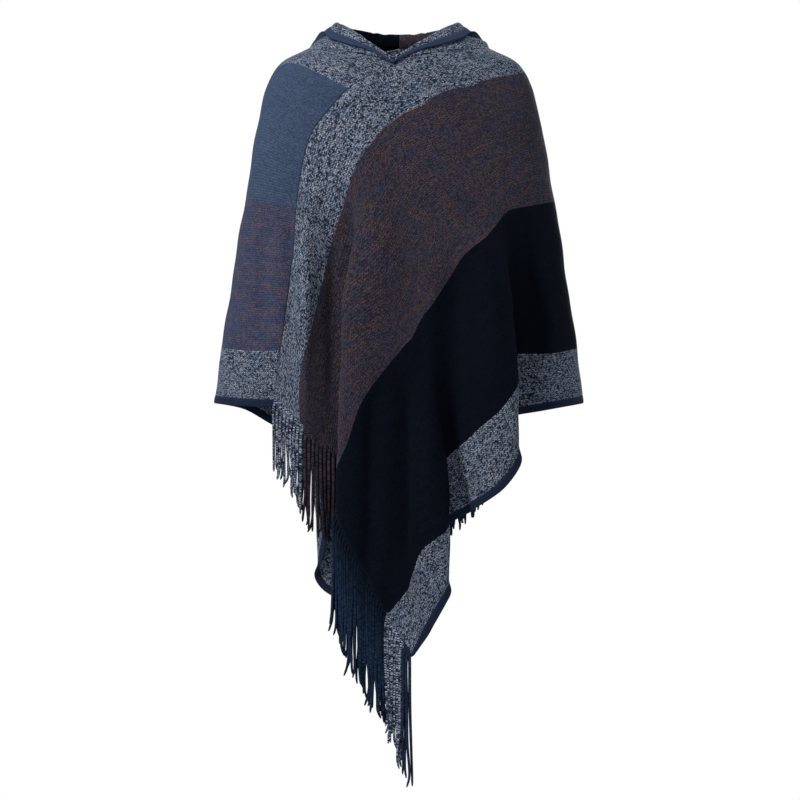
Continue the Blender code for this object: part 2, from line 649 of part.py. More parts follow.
def build_panel(name, panel, cloth, rib, collection):
    """A panel with the band along its hem and the fringe along its free end, both made from its edge."""
    grid, shares = panel.grid(PANEL_COLUMNS, PANEL_ROWS)
    grid_object(f"{name}_panel", grid, CLOTH, cloth, collection)
    tip = int(np.argmin(np.abs(shares - panel.tip_share())))
    edge, inside = grid[:, -1], grid[:, -2]
    band = band_grid(edge[tip:], inside[tip:])
    grid_object(f"{name}_hem_band", band, BAND_THICK, rib, collection)
    fringe_object(f"{name}_fringe", edge[:tip + 1], inside[:tip + 1], cloth, collection)


def main():
    clear_scene()
    collection = bpy.data.collections.new("hooded_poncho")
    bpy.context.scene.collection.children.link(collection)
    heather = material("heather_knit", (0.075, 0.090, 0.125), 0.95)
    navy = material("navy_knit", (0.020, 0.028, 0.050), 0.95)
    rust = material("rust_knit", (0.070, 0.045, 0.048), 0.95)
    rib = material("rib_band", (0.014, 0.018, 0.038), 0.9)

    front = Panel(turned=False, edge=FRONT_EDGE, folds=FRONT_FOLDS)
    back = Panel(turned=True, edge=BACK_EDGE, folds=BACK_FOLDS)
    build_panel("front", front, heather, rib, collection)
    build_panel("back", back, navy, rib, collection)

    lines = []
    for name, side, finish in (("hood_left", -1, navy), ("hood_right", 1, rust)):
        cloth, free_edge = hood_sections(side, HOOD_COLUMNS, HOOD_STEPS)
        cloth = centre_gap(cloth, side)
        grid_object(name, cloth, CLOTH, finish, collection)
        lines.append((cloth[:, -1], cloth[:, -2], free_edge))
    around_face = [np.concatenate([left[::-1], right[1:]]) for left, right in zip(*lines)]
    grid_object("hood_band", band_grid(*around_face), BAND_THICK, rib, collection)


if __name__ == "__main__":
    main()
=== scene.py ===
"""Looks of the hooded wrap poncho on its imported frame, for Blender 4.5 (metres, +Z up, front to -Y).

The cloth, bands, hood and fringes follow the same worn form as the CAD solids, at a finer resolution and
with softer creases. Each piece is laid out in the cloth's own coordinates, so that stripes and stitches run
as they were knitted.
"""

import math

import bmesh
import bpy
import numpy as np
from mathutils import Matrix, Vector


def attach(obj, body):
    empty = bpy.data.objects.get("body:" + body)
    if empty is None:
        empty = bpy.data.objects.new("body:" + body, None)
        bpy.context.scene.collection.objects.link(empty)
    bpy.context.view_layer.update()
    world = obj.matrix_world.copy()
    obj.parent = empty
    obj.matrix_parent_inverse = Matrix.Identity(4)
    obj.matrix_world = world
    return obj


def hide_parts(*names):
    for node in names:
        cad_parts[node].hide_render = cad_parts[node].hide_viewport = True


# ---- sizes of the cut pieces, in metres
CLOTH = 0.0025  # thickness of the knit
PANEL_WIDTH = 0.588  # inner edge to hem, without the band
PANEL_LENGTH = 0.90  # fringed end to cut end
STRIPE_EDGES = (0.0, 0.075, 0.285, 0.510, PANEL_WIDTH)  # distances from the inner edge
BAND = 0.012  # width of the rib band round the face edge of the hood
SEAM_GAP = 0.0003  # between pieces that are sewn together
NECK_GAP = 0.0013  # between the hood and the neck edge
HEM_GAP = 0.0004  # between a panel and its rib band

# ---- how fine the meshes and curves are
PANEL_COLUMNS = 300  # along the stripes
STRIPE_ROWS = (19, 52, 56, 20)  # rows of mesh across each stripe, inner edge to hem
HOOD_COLUMNS = 150  # in each half
HOOD_ROWS = 34  # on each side of the stripe's edge
ROW_LEAST = 0.0004  # rows of mesh are never closer than this
TAPE_SIDES = 12  # points around the section of a rib band
TAPE_STEP = 0.003
STRAND_SIDES = 8
STRAND_RING = 0.003  # spacing of the rings of a strand
STRAND_SAMPLES = 200
QUARTER_SAMPLES = 241  # along a quarter of a ring
SEAM_SAMPLES = 480
SEAM_LEVELS = 61
SEAM_EVEN = 5  # levels over which the seam's place is averaged
LINE_SAMPLES = 2001

# ---- rib bands
TAPE_THICK = 0.0034
TAPE_LAP = 0.0014  # the band covers the cloth edge by this much
TAPE_FLAT = 0.6  # exponents of the band's section, across it and through it; 1 is an ellipse
TAPE_ROUND = 0.8
HEM_EVEN = 4  # columns on each side over which the hem band's direction is evened out
HEM_BAND = 0.0105  # the band shows this wide along the hem
HEM_TAPER = 0.045  # it narrows over this length to this share of its width, at the point
HEM_TIP_SHARE = 0.3

# ---- fringe
STRANDS = 134  # on each fringed end
TRIM_STRANDS = 4  # the last ones at the point are of the band's yarn
FRINGE_INSET = 0.002  # the fringe starts this far from the seam
STRAND_ROOT = 0.012  # a strand starts on the cloth, this far above its edge
STRAND_PROUD = 0.0006  # and comes this far out of it
STRAND_TURN = 0.010  # it comes to its own place over this distance
STRAND_OUT = 0.0025  # which is about this far out from the edge
STRAND_LAYERS = (0.0019, -0.0019)  # neighbouring strands hang in front of and behind each other
STRAND_APART = 0.0032  # strands are, seen from above, at least this far from each other
STRIP_APART = 0.0046  # and this far from the cloth edge below them
SPREAD_STEPS = 300
STRAND_UNEVEN = 0.006  # neighbouring strands differ in length by up to this much
STRAND_BUNCH = 0.0042  # they lean together by up to this much
STRAND_SWAY = 0.0042  # and each bends aside by up to this much
STRAND_HOOK = 0.0050  # the cut end curls aside by up to this much
WAVE_RATES = {  # how fast each unevenness changes from strand to strand
    "length": 2.3, "bunch": 0.55, "sway_x": 1.7, "sway_y": 3.1, "counter": 5.3, "hook_x": 4.3, "hook_y": 2.6,
}
WAVE_MIX = 0.37  # the rate of the second wave that each is multiplied with, as a share of the first
# How a strand bends. Columns: share of its length, and the parts that it has there of the bunch, of its
# sway, of a second sway that is uneven in itself, and of the hook.
STRAND_BENDS = (
    (0.35, 0.1, 0.15, 0.0, 0.0),
    (0.65, 0.6, 0.0, -0.4, 0.0),
    (0.92, 1.0, 1.0, 0.0, 0.0),
    (1.00, 1.0, 1.0, 0.0, 1.0),
)
# Columns: share of the fringed end, from the seam to the point, and length of the strands there.
STRAND_LENGTHS = (
    (0.00, 0.093), (0.08, 0.096), (0.15, 0.122), (0.50, 0.148), (0.62, 0.161),
    (0.75, 0.163), (0.86, 0.147), (0.93, 0.152), (1.00, 0.186),
)
BACK_SHORTER = 0.22  # the back fringe is shorter by this share at its point
SHORTER_FROM = (0.45, 0.65)  # and comes to it between these places, as shares of the fringed end
# A strand rises out of the cloth as a strip, and its edges roll in. Columns: share of its length, width,
# thickness.
STRAND_SECTION = (
    (0.00, 0.0028, 0.0016),
    (0.07, 0.0050, 0.0030),
    (0.35, 0.0049, 0.0034),
    (0.70, 0.0043, 0.0034),
    (0.97, 0.0035, 0.0032),
    (1.00, 0.0018, 0.0018),
)

# ---- tables of the worn form
HALF_TURN = (-1, -1, 1)  # turns a point half round the body
HEM_Z = -0.532  # the level of the hem over the arms
FLAP_Z = -1.100  # the level that the lowest ring of the form is drawn at
NECK_HALF_ROUND = 0.36  # length of a ring from front seam to back seam, at the neck and at the hem
HEM_HALF_ROUND = 0.76
SEAM_REACH = 0.45  # the seam stays this close to the front or the back, where 1 is half round the body
DROP_LEAST = 0.9  # no column of a panel ends above this drop
LEVEL_PLACE = 0.25  # the place around the body where the height of a drop is read

# One ring of cloth for each level, from the neck seam down. A ring has its own height over the arms, at the
# front and at the back, so the upper ones tip over the shoulders. `drop` is the distance along the cloth as
# a share of neck to hem, `square` is the exponent of the ring's outline, 2 for an ellipse, `rise` that of
# its change in height, and `lean` shifts its front sideways.
# Columns: drop, z_side, z_front, z_back, half_width, front, back, square, rise, lean.
RINGS = {
    "neck_seam": (0.00, -0.009, -0.034, 0.002, 0.140, 0.090, 0.084, 2.0, 0.75, -0.010),
    "shoulder": (0.09, -0.028, -0.086, -0.052, 0.176, 0.108, 0.099, 2.1, 1.6, -0.005),
    "shoulder_point": (0.19, -0.064, -0.150, -0.118, 0.198, 0.121, 0.110, 2.2, 2.0, 0.0),
    "upper_arm": (0.30, -0.115, -0.212, -0.190, 0.2095, 0.129, 0.118, 2.3, 2.0, 0.0),
    "chest": (0.49, -0.232, -0.300, -0.290, 0.2305, 0.134, 0.124, 2.6, 2.0, 0.0),
    "elbow": (0.75, -0.382, -0.415, -0.410, 0.254, 0.132, 0.126, 2.6, 2.0, 0.0),
    "hem": (1.00, HEM_Z, HEM_Z, HEM_Z, 0.2755, 0.130, 0.126, 2.4, 2.0, 0.0),
    "flap": (2.00, FLAP_Z, FLAP_Z, FLAP_Z, 0.2755, 0.118, 0.116, 2.4, 2.0, 0.0),
}

# The seam that joins the cut end of one panel to the inner edge of the other, from the V down to the hem.
# Columns: distance below the neck, and across from the V.
SEAM = (
    (0.000, 0.000),
    (0.036, 0.062),
    (0.070, 0.093),
    (0.101, 0.118),
    (0.179, 0.137),
    (0.286, 0.147),
    (0.370, 0.158),
    (0.505, 0.176),
)

# The lower edge of each panel where it hangs as a point, seen from the panel's own side. `across` runs from
# the seam end to the arm; the edge is fringed up to the row named "tip" and has the rib band after it.
# Columns: across, height.
FRONT_EDGE = {
    "seam_end": (-0.186, HEM_Z),
    "fringe_1": (-0.142, -0.576),
    "fringe_2": (-0.112, -0.592),
    "fringe_3": (-0.088, -0.620),
    "fold_left": (-0.076, -0.644),
    "fringe_4": (-0.062, -0.704),
    "fringe_5": (-0.040, -0.786),
    "fringe_6": (-0.008, -0.880),
    "tip": (0.012, -0.910),
    "hem_1": (0.023, -0.868),
    "hem_2": (0.034, -0.827),
    "hem_3": (0.045, -0.800),
    "fold_low": (0.056, -0.770),
    "hem_4": (0.070, -0.738),
    "hem_5": (0.090, -0.704),
    "hem_6": (0.125, -0.662),
    "hem_7": (0.140, -0.620),
    "hem_8": (0.148, -0.600),
    "hem_9": (0.155, -0.584),
    "fold_high": (0.166, -0.567),
    "hem_10": (0.182, -0.548),
    "arm": (0.215, -0.537),
    "arm_side": (0.2755, -0.527),
}
BACK_EDGE = {
    "seam_end": (-0.186, HEM_Z),
    "fringe_1": (-0.137, -0.553),
    "fringe_2": (-0.112, -0.577),
    "fringe_3": (-0.078, -0.608),
    "fringe_4": (-0.050, -0.670),
    "fringe_5": (-0.032, -0.714),
    "fringe_6": (0.004, -0.806),
    "tip": (0.023, -0.850),
    "hem_1": (0.050, -0.840),
    "hem_2": (0.088, -0.826),
    "hem_3": (0.110, -0.782),
    "hem_4": (0.123, -0.735),
    "hem_5": (0.130, -0.685),
    "hem_6": (0.144, -0.626),
    "hem_7": (0.165, -0.580),
    "hem_8": (0.195, -0.556),
    "arm": (0.239, -0.534),
    "arm_side": (0.2755, -0.527),
}

# The hanging folds. A fold runs from `top` to full depth at `full`, at `across_top` there and `across_low`
# at the tip. `overlap` pulls the cloth over itself, `step` sets the side before the fold forward of the side
# after it (negative: behind it), and `ridge` lifts the cloth outwards.
FOLD_SIDE = (0.02, 0.07)  # depths between which a fold grows, so none reaches the other side of the body
FOLD_LOWEST = -0.85  # the height at which a fold has come to `across_low`
# Columns: across_top, across_low, top, full, half_width, overlap, step, ridge.
FRONT_FOLDS = {
    "left_main": (-0.064, -0.0745, -0.180, -0.420, 0.026, 0.034, -0.026, 0.0),
    "left_ridge": (-0.140, -0.142, -0.180, -0.420, 0.020, 0.000, 0.0, 0.008),
    "right_high": (0.153, 0.166, -0.200, -0.500, 0.026, 0.030, 0.025, 0.0),
    "right_low": (0.058, 0.056, -0.460, -0.690, 0.024, 0.030, 0.021, 0.0),
    "centre_ridge": (0.010, 0.000, -0.300, -0.600, 0.036, 0.000, 0.0, 0.007),
}
BACK_FOLDS = {
    "left_main": (-0.062, -0.058, -0.240, -0.540, 0.026, 0.022, -0.020, 0.0),
    "right_high": (0.150, 0.118, -0.220, -0.560, 0.028, 0.024, 0.020, 0.0),
    "right_low": (0.060, 0.066, -0.420, -0.700, 0.026, 0.014, 0.016, 0.0),
    "centre_ridge": (0.010, 0.016, -0.320, -0.620, 0.034, 0.000, 0.0, 0.007),
}

# The hood, lying down, from the V (around 0) to the centre of the back (around 1). The cloth rises from the
# neck seam to a crest. In front of the shoulder it is turned out over itself by the length `turned`. Behind
# the shoulder it hangs down the back as a bag: `bottom` is the lowest point of its fall, `return` lies on
# its way back up, and `edge` is the free edge of the band. Points are (across, depth, height).
# Columns: around, crest, turned.
HOOD_TURNED = (
    (0.00, (0.000, -0.0900, -0.0275), 0.0080),
    (0.12, (0.024, -0.0800, -0.0140), 0.0165),
    (0.24, (0.050, -0.0600, 0.0070), 0.0300),
    (0.36, (0.072, -0.0340, 0.0220), 0.0340),
    (0.46, (0.082, -0.0100, 0.0280), 0.0280),
    (0.56, (0.084, 0.0140, 0.0285), 0.0230),
)
# Columns: around, crest, bottom, return, edge.
HOOD_BAG = (
    (0.60, (0.081, 0.0230, 0.0287), (0.101, 0.0320, 0.0210),
     (0.105, 0.0340, 0.0150), (0.116, 0.0365, 0.0235)),
    (0.69, (0.073, 0.0420, 0.0275), (0.130, 0.0790, -0.0140),
     (0.138, 0.0830, -0.0060), (0.128, 0.0790, 0.0110)),
    (0.82, (0.048, 0.0600, 0.0240), (0.101, 0.1260, -0.1180),
     (0.107, 0.1420, -0.0520), (0.094, 0.1200, 0.0140)),
    (0.92, (0.023, 0.0700, 0.0215), (0.050, 0.1380, -0.2060),
     (0.054, 0.1640, -0.0980), (0.045, 0.1400, 0.0100)),
    (1.00, (0.000, 0.0740, 0.0205), (0.000, 0.1420, -0.2360),
     (0.000, 0.1710, -0.1160), (0.000, 0.1480, 0.0040)),
)
CREST_ROLL = 0.009  # how far the crest stands out before the cloth falls
CREST_RISE = 0.15  # the cloth beyond the crest is higher than it by this share of the roll, in front
CREST_DROP = 0.30  # and lower by this share of it behind
TURNED_FALL = ((0.9, 0.20), (0.8, 0.55))  # turned-out part: out in rolls, down in shares of `turned`
TURNED_CLEAR = 0.0066  # from the cloth below to the free edge of the turned-out part
FALL_BULGE = 0.010
NEARLY_DOWN = 0.99  # a direction with more than this of Z in it counts as straight down
FACES_FRONT = 0.5  # and one with more than this of -Y in it faces the front
BEHIND_NECK = (0.60, 0.85)  # between these places the hood stops lying on the shoulder and hangs
BACK_ROLL = 0.019  # CREST_ROLL behind the neck, where the cloth has to clear the panels
SIDE_SWELL = {-1: 0.003, 1: 0.011}  # how far the cloth bags out over the shoulder, on each side
SWELL_AT = 0.56
SWELL_SPREAD = 0.15
SWELL_SINK = 0.4  # the cloth above the swell sinks by this share of it
SLACK_AT = 0.35  # key points of the rise, as shares of the way from the neck seam to the crest
BED_AT = 0.68
RISE_FOOT = 0.006  # the hood leaves the neck seam in the direction of the panels for this far
FOOT_DROP = 0.02  # that direction is taken from the neck seam to this drop
RIM_MOST = 0.9  # the band takes at most this share of the last span of the hood
HOOD_STEPS = (5, 5, 5, 10, 10, 5, 15, 20, 15)  # spans of mesh between the key points of a section
# The heather stripe along the free edge of the hood; it takes in the corner over the shoulder.
# Columns: around, width.
HOOD_STRIPE = ((0.00, 0.090), (0.42, 0.130), (0.62, 0.200), (0.78, 0.110), (0.86, 0.075), (1.00, 0.075))

# Where the stripes of a panel change, from its fringed end to its cut end. Columns: place around the panel
# as a share, and distance from the neck as a share of the whole way down there.
HEATHER_END = (
    (0.040, 1.00), (0.036, 0.90), (0.037, 0.80), (0.042, 0.70), (0.048, 0.59), (0.053, 0.50),
    (0.062, 0.42), (0.075, 0.34), (0.088, 0.26), (0.100, 0.19), (0.118, 0.125), (0.150, 0.085),
    (0.20, 0.070), (0.26, 0.080), (0.34, 0.11), (0.45, 0.135), (0.55, 0.115), (0.66, 0.085),
    (0.84, 0.09), (1.00, 0.097),
)
SECOND_END = (
    (0.111, 1.00), (0.125, 0.88), (0.134, 0.80), (0.144, 0.68), (0.155, 0.60), (0.170, 0.535),
    (0.192, 0.485), (0.218, 0.475), (0.243, 0.460), (0.268, 0.435), (0.295, 0.428), (0.33, 0.45),
    (0.39, 0.48), (0.47, 0.50), (0.63, 0.493), (0.82, 0.477), (1.00, 0.462),
)
THIRD_END = (
    (0.160, 1.00), (0.171, 0.957), (0.181, 0.923), (0.188, 0.899), (0.191, 0.882), (0.196, 0.872),
    (0.206, 0.888), (0.214, 0.900), (0.240, 0.893),
    (0.270, 0.868), (0.298, 0.843), (0.325, 0.835), (0.355, 0.855), (0.40, 0.877), (0.47, 0.88),
    (0.64, 0.878), (0.84, 0.876), (1.00, 0.867),
)
THIRD_END_BEHIND = (  # the same on the back panel, which has shallower folds there
    (0.160, 1.00), (0.190, 0.955), (0.225, 0.920), (0.265, 0.895), (0.310, 0.880), (0.40, 0.877),
    (0.47, 0.88), (0.64, 0.878), (0.84, 0.876), (1.00, 0.867),
)

# Soft creases, finer than the folds, seen from the side of the body that they are on; a valley's height is
# negative. Columns: x_top, z_top, x_low, z_low, half_width, height.
FRONT_CREASES = {
    "seam_valley": (-0.163, -0.235, -0.160, -0.540, 0.010, -0.0045),
    "left_ridge": (-0.134, -0.190, -0.134, -0.520, 0.014, 0.0040),
    "left_ridge_line": (-0.136, -0.230, -0.139, -0.560, 0.005, 0.0035),
    "valley_before_fold": (-0.096, -0.250, -0.099, -0.580, 0.010, -0.0050),
    "ridge_by_fold": (0.043, -0.300, 0.045, -0.740, 0.014, 0.0060),
    "valley_by_fold": (0.078, -0.300, 0.080, -0.640, 0.016, -0.0090),
    "high_ridge": (0.130, -0.260, 0.142, -0.540, 0.020, 0.0055),
    "sleeve_valley": (0.190, -0.200, 0.206, -0.480, 0.018, -0.0070),
    "left_arm_valley": (-0.196, -0.230, -0.206, -0.470, 0.015, -0.0060),
    "left_hem_crease": (-0.243, -0.440, -0.247, -0.545, 0.006, -0.0030),
    "centre_valley": (-0.038, -0.480, -0.046, -0.860, 0.012, -0.0080),
    "centre_ridge": (-0.010, -0.460, -0.014, -0.800, 0.012, 0.0045),
    "centre_crease": (0.013, -0.480, 0.010, -0.800, 0.008, -0.0060),
    "drape_crease": (0.092, -0.640, 0.101, -0.730, 0.007, -0.0070),
    "tip_crease": (0.014, -0.800, 0.044, -0.890, 0.006, -0.0040),
}
BACK_CREASES = {
    "seam_valley": (-0.163, -0.235, -0.160, -0.540, 0.012, -0.0045),
    "ridge_by_fold": (0.036, -0.260, 0.040, -0.700, 0.016, 0.0060),
    "valley_by_fold": (0.090, -0.300, 0.084, -0.640, 0.016, -0.0080),
    "sleeve_valley": (0.196, -0.220, 0.204, -0.470, 0.018, -0.0065),
    "centre_valley": (-0.024, -0.420, -0.028, -0.820, 0.014, -0.0070),
}
CREASE_FADE = 0.3  # each end of a crease fades over this share of its length
# Long uneven waves over the whole garment. Columns: waves in a metre across, and down, phase, height.
DRIFT = (
    (9.0, 2.0, 0.4, 0.0009),
    (5.0, 7.0, 1.7, 0.0008),
    (17.0, 3.0, 2.9, 0.0005),
    (12.0, 15.0, 4.1, 0.0004),
)
DRIFT_TOP = (0.03, 0.12)  # the waves and creases grow over these distances below the neck


# ---- curves
def columns_of(table):
    """The columns of a table of numbers, each as an array."""
    rows = table.values() if isinstance(table, dict) else table
    return np.array(list(rows), float).T


def unit(vectors):
    """A row of vectors, each made 1 long."""
    return vectors / np.maximum(np.linalg.norm(vectors, axis=1, keepdims=True), 1e-9)


def smooth(x, stations, values, level_end=False):
    """A curve through the values that has no overshoot between its stations (monotone cubic)."""
    x = np.clip(x, stations[0], stations[-1])
    gaps = np.diff(stations)
    slopes = np.diff(values) / gaps
    tangent = np.concatenate([[slopes[0]], np.zeros(len(slopes) - 1), [0 if level_end else slopes[-1]]])
    for i in range(1, len(slopes)):
        if slopes[i - 1] * slopes[i] > 0:
            before, after = 2 * gaps[i] + gaps[i - 1], gaps[i] + 2 * gaps[i - 1]
            tangent[i] = (before + after) / (before / slopes[i - 1] + after / slopes[i])
    k = np.clip(np.searchsorted(stations, x, side="right") - 1, 0, len(gaps) - 1)
    t = (x - stations[k]) / gaps[k]
    rise = values[k + 1] - values[k]
    cubic = gaps[k] * (tangent[k] * t * (1 - t) ** 2 - tangent[k + 1] * t**2 * (1 - t))
    return values[k] + rise * t**2 * (3 - 2 * t) + cubic


def spline(t, stations, points):
    """A smooth curve or surface through rows of points, one row for each station."""
    tangents = np.gradient(points, stations, axis=0)
    k = np.clip(np.searchsorted(stations, t, side="right") - 1, 0, len(stations) - 2)
    gap = (stations[k + 1] - stations[k])[..., None]
    s = ((t - stations[k])[..., None]) / gap
    at = (k, np.arange(points.shape[1])) if points.ndim == 3 else (k,)
    after = (k + 1, np.arange(points.shape[1])) if points.ndim == 3 else (k + 1,)
    hermite = (1 + 2 * s) * (1 - s) ** 2 * points[at] + s * (1 - s) ** 2 * gap * tangents[at]
    return hermite + s**2 * (3 - 2 * s) * points[after] + s**2 * (s - 1) * gap * tangents[after]


def through(points, at):
    """Points on a smooth curve through a row of points; `at` counts in points and parts of spans."""
    knots = np.concatenate([[0], np.cumsum(np.sqrt(np.linalg.norm(np.diff(points, axis=0), axis=1)))])
    return spline(np.interp(at, np.arange(len(points)), knots), knots, points)


def ease(x, start, end):
    """0 before start, 1 after end, and a smooth step between."""
    t = np.clip((x - start) / (end - start), 0, 1)
    return t * t * (3 - 2 * t)


# ---- the worn form
def ring_points(ring, around):
    """Points on one ring. `around` is 0 at the front, 0.5 and -0.5 over the two arms, and 1 behind."""
    _, z_side, z_front, z_back, half_width, front, back, square, rise, lean = ring
    angle = np.linspace(0, math.pi / 2, QUARTER_SAMPLES)
    x = np.zeros_like(around)
    y = np.zeros_like(around)
    share = np.abs(around)
    ahead = share <= 0.5
    quarter = np.where(ahead, share, 1 - share) / 0.5
    for part, depth, sign in ((ahead, front, -1), (~ahead, back, 1)):
        outline_x = half_width * np.sin(angle) ** (2 / square)
        outline_y = depth * np.cos(angle) ** (2 / square)
        along = np.concatenate([[0], np.cumsum(np.hypot(np.diff(outline_x), np.diff(outline_y)))])
        at = quarter[part] * along[-1]
        x[part] = np.interp(at, along, outline_x)
        y[part] = sign * np.interp(at, along, outline_y)
    middle = np.where(ahead, z_front, z_back)
    z = middle + (z_side - middle) * np.sin(quarter * math.pi / 2) ** rise
    x = np.sign(around) * x + lean * np.where(ahead, 1 - quarter, 0)
    return np.stack([x, y, z], axis=-1)


def form(around, drop):
    """The worn form: a point for each pair of a place around the body and a drop down the cloth."""
    around = (around + 1) % 2 - 1
    points = np.stack([ring_points(ring, around) for ring in RINGS.values()])
    return spline(drop, columns_of(RINGS)[0], points)


def seam_places(drops, behind):
    """Where the seam crosses each ring, as a place around the body."""
    below, across = columns_of(SEAM)
    ends = (1 - SEAM_REACH, 1.0) if behind else (-SEAM_REACH, 0.0)
    samples = np.linspace(*ends, SEAM_SAMPLES)
    neck_z = RINGS["neck_seam"][3 if behind else 2]
    neck_x = 0.0 if behind else RINGS["neck_seam"][-1]
    places = []
    for drop in drops:
        points = form(samples, np.full_like(samples, min(drop, 1.0)))
        wanted = smooth(neck_z - points[:, 2], below, across)
        wanted = wanted if behind else neck_x - wanted
        places.append(samples[np.argmin(np.abs(points[:, 0] - wanted))])
    places = np.array(places)
    places[0] = 1.0 if behind else 0.0
    padded = np.pad(places, SEAM_EVEN // 2, mode="edge")
    return np.convolve(padded, np.full(SEAM_EVEN, 1 / SEAM_EVEN), mode="valid")


def place_between(share, first, last):
    """The place around the body of a share of a panel: `first` at 0, over the arm at 0.5, `last` at 1."""
    before = first + (0.5 - first) * share / 0.5
    after = 0.5 + (last - 0.5) * (share / 0.5 - 1)
    return np.where(share < 0.5, before, after)


class Panel:
    """One of the two panels, worked out as seen from its own side: the back one is turned half round."""

    def __init__(self, turned, edge, folds):
        self.turned = turned
        self.turn = np.array(HALF_TURN) if turned else np.ones(3)
        self.edge = edge
        self.folds = folds
        self.levels = np.linspace(0, 1, SEAM_LEVELS)
        front = seam_places(self.levels, behind=False)
        back = seam_places(self.levels, behind=True)
        self.first = back - 1 if turned else front
        self.last = front + 1 if turned else back
        self.first[0], self.last[0] = 0.0, 1.0

    def own_form(self, place, drop):
        """Points of the worn form at a place around the body, as seen from the panel's own side."""
        return form(place + self.turned, drop) * self.turn

    def surface(self, share, drop):
        """Cloth points. `share` runs from the inner seam (0) over the arm (0.5) to the cut end (1)."""
        level = np.clip(drop, 0, 1)
        trim = SEAM_GAP / (NECK_HALF_ROUND + (HEM_HALF_ROUND - NECK_HALF_ROUND) * np.sqrt(level))
        share = np.clip(share, trim, 1 - trim)
        first = np.interp(level, self.levels, self.first)
        last = np.interp(level, self.levels, self.last)
        return self.folded(self.own_form(place_between(share, first, last), drop)) * self.turn

    def folded(self, points):
        """The points with the hanging folds, on the part of the panel that is on its own side of the body.

        The roots of e make `overlap` and `step` the most that a fold moves the cloth.
        """
        x, y, z = points[..., 0].copy(), points[..., 1].copy(), points[..., 2]
        own_side = ease(-y, *FOLD_SIDE)
        base_x = x.copy()
        for across_top, across_low, top, full, half_width, overlap, step, ridge in self.folds.values():
            depth = ease(-z, -top, -full) * own_side
            centre = across_top + (across_low - across_top) * ease(-z, -top, -FOLD_LOWEST)
            q = (base_x - centre) / half_width
            x -= overlap * depth * math.sqrt(2 * math.e) * q * np.exp(-q * q)
            y += step * depth * math.sqrt(math.e) * q * np.exp(-q * q / 2)
            y -= ridge * depth * np.exp(-q * q)
        return np.stack([x, y, z], axis=-1)

    def across_at_hem(self, shares):
        """How far across the body each column crosses the hem ring."""
        places = place_between(shares, self.first[-1], self.last[-1])
        return self.own_form(places, np.ones_like(places))[:, 0]

    def lowest_drops(self, shares):
        """How far down the cloth each column of the panel reaches."""
        across, height = columns_of(self.edge)
        arm_z = self.edge["arm_side"][1]
        behind_arm = arm_z + (HEM_Z - arm_z) * ease(shares, 0.5, 1.0)
        wanted = np.where(shares > 0.5, behind_arm, smooth(self.across_at_hem(shares), across, height))
        drops = np.linspace(DROP_LEAST, RINGS["flap"][0], LINE_SAMPLES)
        heights = form(np.full_like(drops, LEVEL_PLACE), drops)[:, 2]
        return np.interp(-wanted, -heights, drops)

    def tip_share(self):
        """The column that ends in the panel's hanging point."""
        shares = np.linspace(0, 0.5, LINE_SAMPLES)
        return float(np.interp(self.edge["tip"][0], self.across_at_hem(shares), shares))


def edge_frames(line, inner):
    """For a line along a cloth edge and the line inside it: the way out of the edge, and the normal."""
    steps = unit(np.diff(line, axis=0))
    along = unit(np.concatenate([steps[:1], steps[1:] + steps[:-1], steps[-1:]]))
    inward = inner - line
    inward -= (inward * along).sum(1, keepdims=True) * along
    inward = unit(inward)
    return -inward, np.cross(along, inward)


def lengths_along(line):
    """The distance of each point of a line from its start."""
    return np.concatenate([[0], np.cumsum(np.linalg.norm(np.diff(line, axis=0), axis=1))])


def resample(line, along, at):
    """The points of a line at given distances; `along` are the distances of its own points."""
    return np.stack([np.interp(at, along, line[:, k]) for k in range(line.shape[1])], axis=1)


def wave(strand, kind):
    """A repeatable uneven number from -1 to 1 for each strand and kind of unevenness."""
    turn = strand * WAVE_RATES[kind]
    return math.sin(turn) * math.cos(turn * WAVE_MIX + 1.0)


def spread_apart(places, feet):
    """Strand places, seen from above, pushed apart until none touches another or the strip below it.

    The last one stays at the point, which holds the others back.
    """
    places = places.copy()
    index = np.arange(len(places))
    is_below = (feet[None, :, 2] < feet[:, None, 2]) & (index[None, :] > index[:, None])
    for _ in range(SPREAD_STEPS):
        for others, apart, counts, share in (
            (places, STRAND_APART, index[None, :] != index[:, None], 0.5),
            (feet[:, :2], STRIP_APART, is_below, 1.0),
        ):
            away = places[:, None] - others[None]
            distance = np.maximum(np.linalg.norm(away, axis=2), 1e-6)
            push = np.where(counts, np.maximum(apart - distance, 0), 0) * share
            places += (away / distance[..., None] * push[..., None]).sum(axis=1) / 2
        places[-1] = feet[-1, :2]
    return places


# ---- the cloth in its own coordinates
def stripe_lines(panel):
    """The inner edge, the three stripe changes and the hem of a panel, densely, as (share, drop)."""
    count = LINE_SAMPLES
    up_and_over = np.linspace(0, 2, count)
    inner = np.stack([np.clip(up_and_over - 1, 0, 1), np.clip(1 - up_and_over, 0, 1)], axis=1)
    hem = np.stack([np.linspace(panel.tip_share(), 1, count), np.ones(count)], axis=1)
    changes = []
    for rows in (HEATHER_END, SECOND_END, THIRD_END_BEHIND if panel.turned else THIRD_END):
        at = np.linspace(0, len(rows) - 1, count)
        changes.append(np.clip(through(np.array(rows, float), at), 0, 1))
    lines = [inner, *changes, hem]
    for line in lines:
        line[:, 1] *= panel.lowest_drops(line[:, 0])
    return lines


